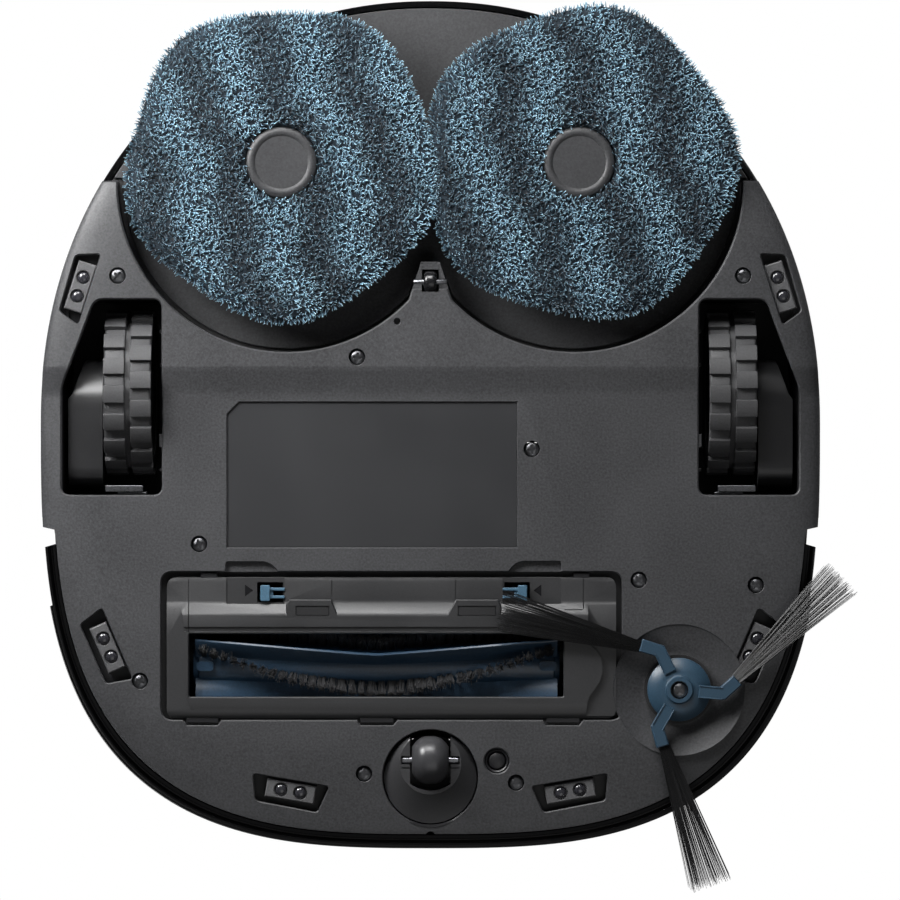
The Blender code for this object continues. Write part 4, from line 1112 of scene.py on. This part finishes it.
def brush_cover():
    """Clip-on cover: rails, window, latch bays, seams, pads, arrows and tabs."""
    section = [(-123.2, 12.2), (-123.2, 11.0), (-121.9, 9.7), (-118.6, 8.5), (-116.6, 8.15),
               (-113.0, 8.1), (-86.9, 8.1), (-86.7, 8.9), (-85.1, 8.9), (-84.8, 8.0),
               (-80.2, 7.9), (-79.3, 8.15), (-75.0, 10.35), (-73.9, 10.6), (-66.0, 10.4),
               (-64.6, 10.7), (-64.1, 11.3), (-64.1, 12.2)]
    cover = rough("brush_cover_frame", along_x(prism(section, -77.6, 110.1)))
    keep = rounded(rectangle((-77.6, 110.1), (-123.2, -64.1)), 4.5)
    frame_cut = band([(x * 1.3, y * 1.3 + 25) for x, y in keep], keep, 4.0, 16.0)
    carve(cover, [frame_cut])
    tabs = ([(38.0, -81.2), (60.3, -81.2), (60.3, -75.4), (58.9, -73.4), (41.3, -73.4)],
            [(-29.6, -81.2), (-6.2, -81.2), (-10.6, -73.4), (-28.2, -73.4), (-29.6, -75.4)])
    carve(cover, [eased(tab, 7.9, 12.0, 0.5) for tab in tabs], "UNION")
    window = rounded(rectangle((-55.6, 100.8), (-114.1, -87.8)), 0.8)
    cuts = [pocket(window, 16.0, 0.45, 8.1)]
    for x in ((60.9, 85.3), (-54.6, -30.2)):
        cuts.append(prism(rectangle(x, (-75.3, -60.0)), 4.0, 11.0))
    carve(cover, cuts)
    scoop = [(-90.0, -130.0), (-65.1, -130.0), (-65.1, -120.7), (-65.6, -116.5),
             (-66.3, -113.9), (-68.6, -110.8), (-70.7, -107.7), (-71.8, -104.0),
             (-71.9, -101.4), (-71.3, -97.7), (-69.4, -94.6), (-66.9, -92.8), (-66.0, -89.5),
             (-65.9, -79.1), (-65.7, -66.6), (-90.0, -66.6)]
    arc = [(120.0, -67.0), (110.2, -67.9), (107.7, -70.4), (105.2, -74.2), (103.6, -79.1),
           (102.7, -86.6), (102.3, -99.0), (102.1, -111.4), (100.2, -118.8), (97.1, -120.3),
           (97.1, -128.0), (120.0, -128.0)]
    deep = [prism(scoop, 4.0, 9.9), prism(arc, 4.0, 9.0)]
    deep += [prism(rectangle(x, (-74.6, -66.2)), 4.0, 16.0)
             for x in ((61.6, 72.4), (-41.6, -30.9))]
    deep += [prism(rectangle(x, (-80.2, -76.0)), 4.0, 8.6)
             for x in ((42.2, 56.3), (-27.4, -11.4))]
    for x in ((74.0, 77.5), (-46.4, -43.0)):
        base, tip = (x[1], x[0]) if x[0] > 0 else x
        deep.append(prism([(base, -67.2), (tip, -69.7), (base, -72.2)], 4.0, 11.25))
    carve(cover, deep)
    lines = (((100.8, 101.15), (-87.2, -60.0)), ((-64.1, -63.7), (-77.4, -60.0)),
             ((-56.3, -55.9), (-87.0, -78.3)), ((-63.6, -56.0), (-77.9, -77.5)),
             ((41.0, 41.35), (-72.6, -65.2)), ((-10.7, -10.35), (-72.6, -65.2)))
    grooves = [prism(rectangle(x, y), 4.0, 10.85 if y[1] > -70.0 else 9.6) for x, y in lines]
    carve(cover, grooves)
    finish_piece(cover, COVER, "cover", ("brush_cover",), 0.3, 30)
    inlays = [prism(rectangle(x, (-80.0, -76.2)), 8.3, 9.0)
              for x in ((42.4, 56.1), (-27.2, -11.6))]
    piece("brush_cover_pads", joined(inlays), SOFT_BLACK, "cover", ("brush_cover",),
          0.15)
    arrows = [prism([(77.4, -67.3), (74.1, -69.7), (77.4, -72.1)], 11.05, 11.5),
              prism([(-46.3, -67.3), (-43.1, -69.7), (-46.3, -72.1)], 11.05, 11.5)]
    piece("brush_cover_arrows", joined(arrows), GLOSS, "cover", ("brush_cover",))
    tabs = [block(x, (-125.0, -122.8), (10.6, 12.0)) for x in ((88.6, 102.0), (15.2, 29.4),
                                                              (-62.4, -48.4))]
    tabs += [block(x, (-65.0, -62.3), (10.9, 12.1)) for x in ((89.0, 96.0), (-66.6, -59.8))]
    piece("brush_cover_tabs", joined(tabs), BLACK, "cover", ("brush_cover",),
          0.4)


def latches():
    """Sliding latches: a grip block and two prongs."""
    for sign, x, word in ((1, 69.0, "left"), (-1, -38.4, "right")):
        grip = rounded(rectangle((x - 2.0, x + 2.0), (-74.1, -67.5)), 0.6)
        shapes = [prism(grip, 8.6, 13.0)]
        for y in (-69.2, -72.4):
            shapes.append(block(sorted((x - sign * 1.5, x - sign * 8.2)), (y - 0.65, y + 0.65),
                                (9.8, 12.4)))
        shapes.append(block(sorted((x - sign * 1.0, x - sign * 3.4)), (-73.2, -68.4),
                            (10.4, 12.6)))
        piece(f"latch_grip_{word}", joined(shapes), BRIGHT_BLUE, f"latch_{word}",
              (f"brush_latch_{word}",), 0.3)


# --- side brush --------------------------------------------------------------------

def around(radius, angle):
    """A point at a distance and heading from the side brush's axis."""
    return SIDE[0] + radius * math.cos(angle), SIDE[1] + radius * math.sin(angle)


def side_brush():
    """Domed hub with three bent, ribbed arms, its screw and the bristle fans."""
    loop = [(3.8, 3.3), (5.3, 3.3), (5.6, 3.6), (5.8, 4.5)]
    for i in range(8):
        share = i / 7
        loop.append((6.1 + 7.1 * share, 4.7 + 3.0 * share ** 1.9))
    loop += [(13.3, 8.4), (13.0, 9.2), (3.8, 9.2)]
    shapes = [turned(loop, SIDE, 64)]
    stiff = []
    for heading in HEADINGS:
        elbow = heading + ELBOW
        tip = heading + HAND
        path = [Vector(around(8.0, elbow)), Vector(around(18.1, elbow)), Vector(around(24.6, tip))]
        first = (path[1] - path[0]).normalized()
        second = (path[2] - path[1]).normalized()
        turn = (first + second).normalized()
        sides = [Vector((-first.y, first.x)) * 2.7, Vector((-turn.y, turn.x)) * 2.85,
                 Vector((-second.y, second.x)) * 2.7]
        outline = [p - s for p, s in zip(path, sides)] + [p + s for p, s in
                                                          zip(path[::-1], sides[::-1])]
        outline = [(p.x, p.y) for p in outline]
        stiff.append(loft(at_heights(((grown(outline, -0.35), 4.0), (outline, 4.4),
                                      (outline, 8.6)))))
        across = sides[0].normalized()
        for shift in (-2.35, 2.35):
            rib = [path[0] + across * (shift - 0.3), path[1] + across * (shift - 0.3),
                   path[1] + across * (shift + 0.3), path[0] + across * (shift + 0.3)]
            stiff.append(prism([(p.x, p.y) for p in rib], 3.65, 4.6))
    piece("side_brush_dome", joined(shapes), BLUE, "side_brush", ("side_brush_hub",),
          angle=40)
    piece("side_brush_arms", joined(stiff), BLUE, "side_brush", ("side_brush_hub",),
          0.25, 30)
    well = turned(((0, 5.2), (3.9, 5.2), (3.9, 8.9), (0, 8.9)), SIDE, 32)
    piece("side_brush_screw_well", well, SOFT_BLACK, "side_brush", ("side_brush_screw",))
    screws("side_brush_screw_head", [(SIDE[0], SIDE[1], 3.9)], 3.2, 1.6, SCREW, "side_brush",
           ("side_brush_screw",))
    rng = np.random.RandomState(11)
    for number, heading in enumerate(HEADINGS, 1):
        start = Vector(around(23.4, heading + HAND))
        far = Vector(around(83.0, heading))
        along = (far - start).normalized()
        cross = Vector((-along.y, along.x))
        roots, ways, sizes, tone_and_sheens = [], [], [], []
        reach = (far - start).length
        for i in range(150):
            lane = (i + 0.5) / 150 * 2 - 1
            clump = round(lane * 8) / 8
            lane = 0.45 * lane + 0.55 * clump + rng.normal(0, 0.012)
            spread_to = lane * 8.6 + rng.normal(0, 0.25)
            depth = 5.2 + 2.3 * abs(math.sin(i * 2.4))
            root = Vector((start.x + cross.x * lane * 2.1, start.y + cross.y * lane * 2.1,
                           depth))
            tip_z = 1.3 + rng.uniform(0, 1.2)
            end = start + along * (reach * rng.uniform(0.93, 1.0)) + cross * spread_to
            way = Vector((end.x, end.y, tip_z)) - root
            roots.append(tuple(root))
            ways.append(tuple(way))
            sizes.append(way.length)
            tone_and_sheens.append(rng.uniform(0.0, 1.0))
        threads(f"bristle_fan_{number}", roots, ways, sizes, 0.17, tone_and_sheens, BRISTLE, "side_brush",
                (f"bristle_bundle_{number}",), blunt=0.55)


# --- mops --------------------------------------------------------------------------

def pad_reach(side, angle):
    """The pad's radius at a heading."""
    wave = math.cos(PAD_LOBES * (angle - PAD_PHASE[side]))
    return PAD_R + PAD_LOBE * wave


def mop_pad(side, word):
    """A crowned microfibre pad under a dense pile."""
    centre = Vector((side * MOP_X, MOP_Y))
    count = 150
    profile = ((15.3, 7.9), (15.3, 4.6), (18.0, 3.7), (24.0, 3.5), (-12.0, 3.4), (-6.0, 3.5),
               (-2.6, 3.9), (-0.8, 4.9), (-0.3, 6.1), (-1.0, 7.3), (-3.0, 7.9), (-8.0, 7.95))
    layers = []
    for reach, z in profile:
        ring = []
        for i in range(count):
            angle = 2 * math.pi * i / count
            radius = reach if reach > 0 else pad_reach(side, angle) + reach
            dimple = 0.0
            if z < 4:
                dimple = 0.18 * math.sin(7 * angle + reach) * math.sin(0.4 * radius)
            ring.append((centre.x + radius * math.cos(angle),
                         centre.y + radius * math.sin(angle), z + dimple))
        layers.append(ring)
    name = f"mop_{word}"
    pad = piece(f"mop_pad_{word}_cushion", tube(layers), PILE_BASE, name,
                (f"mop_pad_{word}",), angle=60)
    rng = np.random.RandomState(21 + side)
    roots, ways, sizes, tone_and_sheens = [], [], [], []
    pitch, row_share, jitter, slant = 0.98, 0.866, 0.28, math.radians(15)
    rows = int(70 / (pitch * row_share))
    for row in range(-rows, rows + 1):
        for column in range(-74, 75):
            x = (column + 0.5 * (row % 2)) * pitch + rng.normal(0, jitter)
            y = row * pitch * row_share + rng.normal(0, jitter)
            radius, angle = math.hypot(x, y), math.atan2(y, x)
            if radius < PILE_START or radius > pad_reach(side, angle) - 0.9:
                continue
            tilt = x * math.cos(slant) - y * math.sin(slant)
            wobble = 0.6 * math.sin(0.085 * y + 1.7 * side) + 0.4 * math.sin(0.19 * y + 0.05 * x)
            stripe = math.sin(2 * math.pi * tilt / STRIPE_PITCH + wobble)
            comb = math.radians(100) + 0.5 * stripe + rng.normal(0, 1.6)
            lean = 0.7 + 0.6 * rng.rand()
            edge = smoothstep(pad_reach(side, angle) - 7.0, pad_reach(side, angle), radius)
            z = 3.9 + 1.6 * edge
            roots.append((centre.x + x, centre.y + y, z))
            ways.append((math.cos(comb) * lean + math.cos(angle) * edge * 1.2,
                         math.sin(comb) * lean + math.sin(angle) * edge * 1.2, -1.0))
            sizes.append(3.3 * rng.uniform(0.62, 1.05))
            # Each tuft's tone follows the stripes as painted sheen of the combed pile, with random
            # tone on top.
            tone_and_sheens.append(0.52 + 0.42 * stripe + rng.normal(0, 0.24))
    total = 2 * math.pi * PAD_R / 0.55
    for i in range(int(total)):
        angle = 2 * math.pi * i / total + rng.normal(0, 0.004)
        radius = pad_reach(side, angle) - 1.2
        z = rng.uniform(4.3, 7.0)
        twist = angle + rng.normal(0, 0.55)
        roots.append((centre.x + radius * math.cos(angle), centre.y + radius * math.sin(angle),
                      z))
        ways.append((math.cos(twist), math.sin(twist), rng.uniform(-0.9, 0.15)))
        sizes.append(rng.uniform(2.2, 3.6))
        tone_and_sheens.append(rng.uniform(0.3, 0.9))
    threads(f"mop_pile_{word}", roots, ways, sizes, 0.31, tone_and_sheens, PILE, name,
            (f"mop_pad_{word}",), blunt=0.5)


def mop_hardware(side, word):
    """Cap and ribbed carrier plate with its spindle."""
    centre = (side * MOP_X, MOP_Y)
    name = f"mop_{word}"
    cap = turned(((0, 3.3), (11.0, 3.3), (11.5, 3.0), (12.1, 2.7), (13.3, 2.75), (14.5, 3.5),
                  (14.9, 4.6), (14.9, 7.9), (0, 7.9)), centre, 72)
    piece(f"mop_cap_{word}_disc", cap, CAP, name, (f"mop_cap_{word}",),
          0.12, 30)
    plate = [turned(((0, 8.35), (56.0, 8.35), (57.0, 9.0), (57.0, 10.7), (56.4, 11.2),
                     (16.0, 11.2), (12.0, 13.5), (9.0, 14.5), (9.0, 26.6), (0, 26.6)),
                    centre, 96)]
    for i in range(10):
        rib = spun(centre, rectangle((14.0, 54.0), (-0.7, 0.7)), math.pi / 5 * i)
        plate.append(prism(rib, 11.0, 13.0))
    piece(f"mop_plate_{word}_ribbed", joined(plate), BLACK, name, (f"mop_plate_{word}",),
          0.2)


# --- top side ----------------------------------------------------------------------

def lidar():
    """Lidar turret: base ring, slotted head, and the pressed cap on its posts."""
    centre = (0.0, LIDAR_Y)
    base = rough("lidar_base_ring",
                 turned(((0, 86.0), (40.0, 86.0), (40.0, 98.0), (39.4, 98.8), (38.4, 99.0),
                         (31.5, 99.0), (30.6, 98.2), (30.2, 97.2), (0, 97.2)), centre, 96))
    spots = [(35.0 * math.cos(math.radians(a)), LIDAR_Y + 35.0 * math.sin(math.radians(a)))
             for a in (45, 135, 225, 315)]
    carve(base, [prism(circle(p, 3.5, 24), 94.5, 104.0) for p in spots])
    finish_piece(base, CHARCOAL, "chassis", ("lidar_base",), 0.2)
    head = rough("lidar_head_drum",
                 turned(((0, 99.4), (28.8, 99.4), (29.0, 99.8), (29.0, 108.2), (28.4, 108.8),
                         (26.0, 109.1), (0, 109.1)), centre, 96))
    ports = [block((20.0, 32.0), (LIDAR_Y - 5.0, LIDAR_Y + 5.0), (101.4, 107.2)),
             block((20.0, 32.0), (LIDAR_Y - 17.0, LIDAR_Y - 9.0), (101.4, 107.2))]
    carve(head, ports)
    finish_piece(head, BLACK, "lidar_rotor", ("lidar_head",), 0.3)
    lenses = [along_x(turned(((0, 21.0), (3.8, 21.0), (3.8, 22.6), (2.6, 24.2), (0, 24.8)),
                             (LIDAR_Y, 104.3), 32)),
              along_x(turned(((0, 21.0), (2.9, 21.0), (2.9, 22.2), (0, 23.6)),
                             (LIDAR_Y - 13.0, 104.3), 32))]
    piece("lidar_head_lenses", joined(lenses), LENS, "lidar_rotor", ("lidar_head",),
          angle=60)
    cap = rough("lidar_cap_disc",
                turned(((0, 110.8), (39.0, 110.8), (39.8, 111.3), (40.0, 112.2), (39.4, 113.1),
                        (37.8, 113.6), (32.0, 113.8), (31.4, 113.4), (30.8, 113.8), (0, 113.8)),
                       centre, 96))
    carve(cap, [prism(circle(p, 3.2, 24), 97.0, 111.5) for p in spots], "UNION")
    finish_piece(cap, CHARCOAL, "lidar_cover", ("lidar_cap",), 0.15)


def dustbin():
    """Lift-out bin with a finger pocket and a folding handle."""
    outline = rounded(rectangle((-60.0, 60.0), (-95.0, -8.0)), 4.6, 6)
    box = rough("dustbin_case", loft(at_heights((
        (grown(outline, -1.0), 50.0), (outline, 51.2), (outline, 96.4),
        (grown(outline, -0.5), 96.95)))))
    carve(box, [block((-58.0, 58.0), (-93.0, -10.0), (52.0, 90.0))])
    carve(box, [block((-40.0, 40.0), (-13.0, -3.0), (56.0, 76.0)),
                prism(rounded(rectangle((-32.0, 32.0), (-64.0, -38.0)), 3.0), 92.2, 99.0)])
    carve(box, [prism(rounded(rectangle((-52.0, 52.0), y), 0.5), 96.4, 99.0)
                for y in ((-88.0, -86.8), (-16.2, -15.0))])
    finish_piece(box, GREY, "bin", ("dustbin",), 0.25)
    outline = rounded(rectangle((-31.0, 31.0), (-60.0, -42.0)), 2.6)
    small = grown(outline, -0.6)
    grip = rough("dustbin_grip", loft(at_heights((
        (small, 93.4), (outline, 94.0), (outline, 96.0), (small, 96.6)))))
    carve(grip, [prism(rounded(rectangle((-24.0, 24.0), (-55.0, -47.0)), 2.0), 90.0, 99.0)])
    finish_piece(grip, CHARCOAL, "bin_handle", ("dustbin_handle",), 0.3)


def buttons():
    """Round keys with a dished face and a plain engraved mark."""
    for side, word in ((1, "power"), (-1, "dock")):
        centre = (side * KEY_X, KEY_Y)
        key = rough(f"{word}_key",
                    turned(((0, 92.5), (7.0, 92.5), (7.0, 96.9), (6.6, 97.5), (5.8, 97.75),
                            (4.5, 97.6), (0, 97.3)), centre, 56))
        dash = rectangle((centre[0] - 2.0, centre[0] + 2.0), (centre[1] - 0.4, centre[1] + 0.4))
        mark = circle(centre, 1.1, 24) if word == "power" else rounded(dash, 0.3)
        carve(key, [prism(mark, 96.9, 99.0)])
        finish_piece(key, BLACK, f"{word}_key", (f"{word}_button",), 0.1)


# --- carried-over nodes ------------------------------------------------------------

def dress():
    """Materials for the CAD pieces that keep their own shape, with their edges eased."""
    looks = {"brush_chamber": BLACK, "side_brush_motor": BLACK, "battery_pack": GREY,
             "fan_housing": BLACK, "fan_impeller": GREY, "mop_gearbox_left": BLACK,
             "mop_gearbox_right": BLACK, "water_tank": GREY}
    for node, look in looks.items():
        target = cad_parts[node]
        made = target if isinstance(target, bpy.types.Object) else bpy.data.objects[node]
        for slot in made.material_slots:
            slot.material = look
        ease_edges(made, 0.3, 35)


# --- stage -------------------------------------------------------------------------

def aim(thing, target):
    """Point a light or camera at a place."""
    way = Vector(target) - thing.location
    thing.rotation_euler = way.to_track_quat("-Z", "Y").to_euler()


def area_light(name, spot, target, size, power):
    """A soft square light."""
    data = bpy.data.lights.new(name, "AREA")
    data.size = size
    data.energy = power
    made = bpy.data.objects.new(name, data)
    made.location = spot
    bpy.context.collection.objects.link(made)
    aim(made, target)
    return made


def spare(light, names):
    """Keep a light off the named pieces."""
    group = bpy.data.collections.new(f"{light.name}_spares")
    for name in names:
        group.objects.link(bpy.data.objects[name])
    light.light_linking.receiver_collection = group
    for entry in group.collection_objects:
        entry.light_linking.link_state = "EXCLUDE"


def blended(tree, share, first, second):
    """Two shaders mixed by a share."""
    return add(tree, "MixShader", {"Fac": share, 1: first, 2: second}).outputs["Shader"]


def pale_floor():
    """A floor seen from above only, that turns white with distance."""
    bpy.ops.mesh.primitive_plane_add(size=12.0, location=(0, 0, -0.0002))
    floor = bpy.context.object
    floor.name = "floor"
    made, tree, shader = shader_of("pale_floor")
    fill(shader, {"Base Color": (0.80, 0.80, 0.79, 1.0), "Roughness": 0.8})
    glow = add(tree, "Emission", {"Color": (1.0, 1.0, 1.0, 1.0)}).outputs["Emission"]
    clear = add(tree, "BsdfTransparent").outputs["BSDF"]
    place = add(tree, "NewGeometry").outputs
    reach = add(tree, "VectorMath", {0: place["Position"]}, operation="LENGTH")
    far = spread(tree, reach.outputs["Value"], 0.0, 1.0, 0.45, 2.2)
    fade = blended(tree, far, shader.outputs["BSDF"], glow)
    front = add(tree, "Math", {0: 1.0, 1: place["Backfacing"]}, operation="SUBTRACT")
    seen = add(tree, "Math", {0: add(tree, "LightPath").outputs["Is Camera Ray"],
                              1: front.outputs["Value"]}, operation="MULTIPLY")
    fill(tree.nodes["Material Output"],
         {"Surface": blended(tree, seen.outputs["Value"], clear, fade)})
    floor.data.materials.append(made)


def white_world():
    """Surroundings that look white and light the object only a little."""
    world = bpy.data.worlds.new("studio")
    bpy.context.scene.world = world
    world.use_nodes = True
    tree = world.node_tree
    level = add(tree, "MapRange", {"To Min": 0.058, "To Max": 1.0,
                                   "Value": add(tree, "LightPath").outputs["Is Camera Ray"]})
    fill(tree.nodes["Background"], {"Color": (1.0, 1.0, 1.0, 1.0),
                                    "Strength": level.outputs["Result"]})


def lamps():
    """Three close lights under the object, kept off its sides, and three far soft ones."""
    sides = ("body_skirt_shell", "bumper_wall", "bumper_rubber_strip", "bumper_window",
             "contact_plate_left", "contact_plate_right", "top_panel_shell", "base_plate_rim")
    for name, spot, target, size, power in (
            ("key_below", (0.48, 0.52, -0.38), (0.05, 0.08, 0.0), 0.36, 5.4),
            ("near_below", (0.36, 0.25, -0.24), (0.06, 0.06, 0.0), 0.18, 2.0),
            ("rear_below", (0.05, 0.62, -0.42), (0.02, 0.0, 0.0), 0.30, 4.6)):
        spare(area_light(name, spot, target, size, power), sides)
    middle = (0.0, 0.0, 0.0)
    area_light("fill_below", (-0.30, -0.85, -1.5), middle, 1.1, 3.0)
    area_light("key_above", (1.2, -1.0, 1.6), middle, 1.4, 45.0)
    area_light("fill_above", (-1.5, 0.6, 1.2), middle, 1.4, 18.0)


def camera_below():
    """The camera, looking straight up at the underside, and plain tones."""
    scene = bpy.context.scene
    scene.view_settings.view_transform = "Standard"
    scene.view_settings.look = "None"
    data = bpy.data.cameras.new("camera")
    data.lens = 221.2
    data.sensor_width = 36.0
    data.clip_start = 0.05
    data.clip_end = 30.0
    camera = bpy.data.objects.new("camera", data)
    camera.location = ORIGIN + Vector((-8.2, -11.0, -2300.0)) * MM
    camera.rotation_euler = (0.0, math.pi, 0.0)
    bpy.context.collection.objects.link(camera)
    scene.camera = camera


base_plate()
mop_deck()
sockets()
screws("chassis_screws", heights(SCREWS, 0.6), 3.0, 2.6, SCREW, "chassis")
cliff_sensors()
outer_shell()
bumper()
contacts()
caster()
main_brush()
brush_cover()
latches()
side_brush()
lidar()
dustbin()
buttons()
for side_sign, side_word in SIDES:
    for build in (housings, springs, tyre, hub, swing_arm, mop_pad, mop_hardware):
        build(side_sign, side_word)
dress()
pale_floor()
white_world()
lamps()
camera_below()
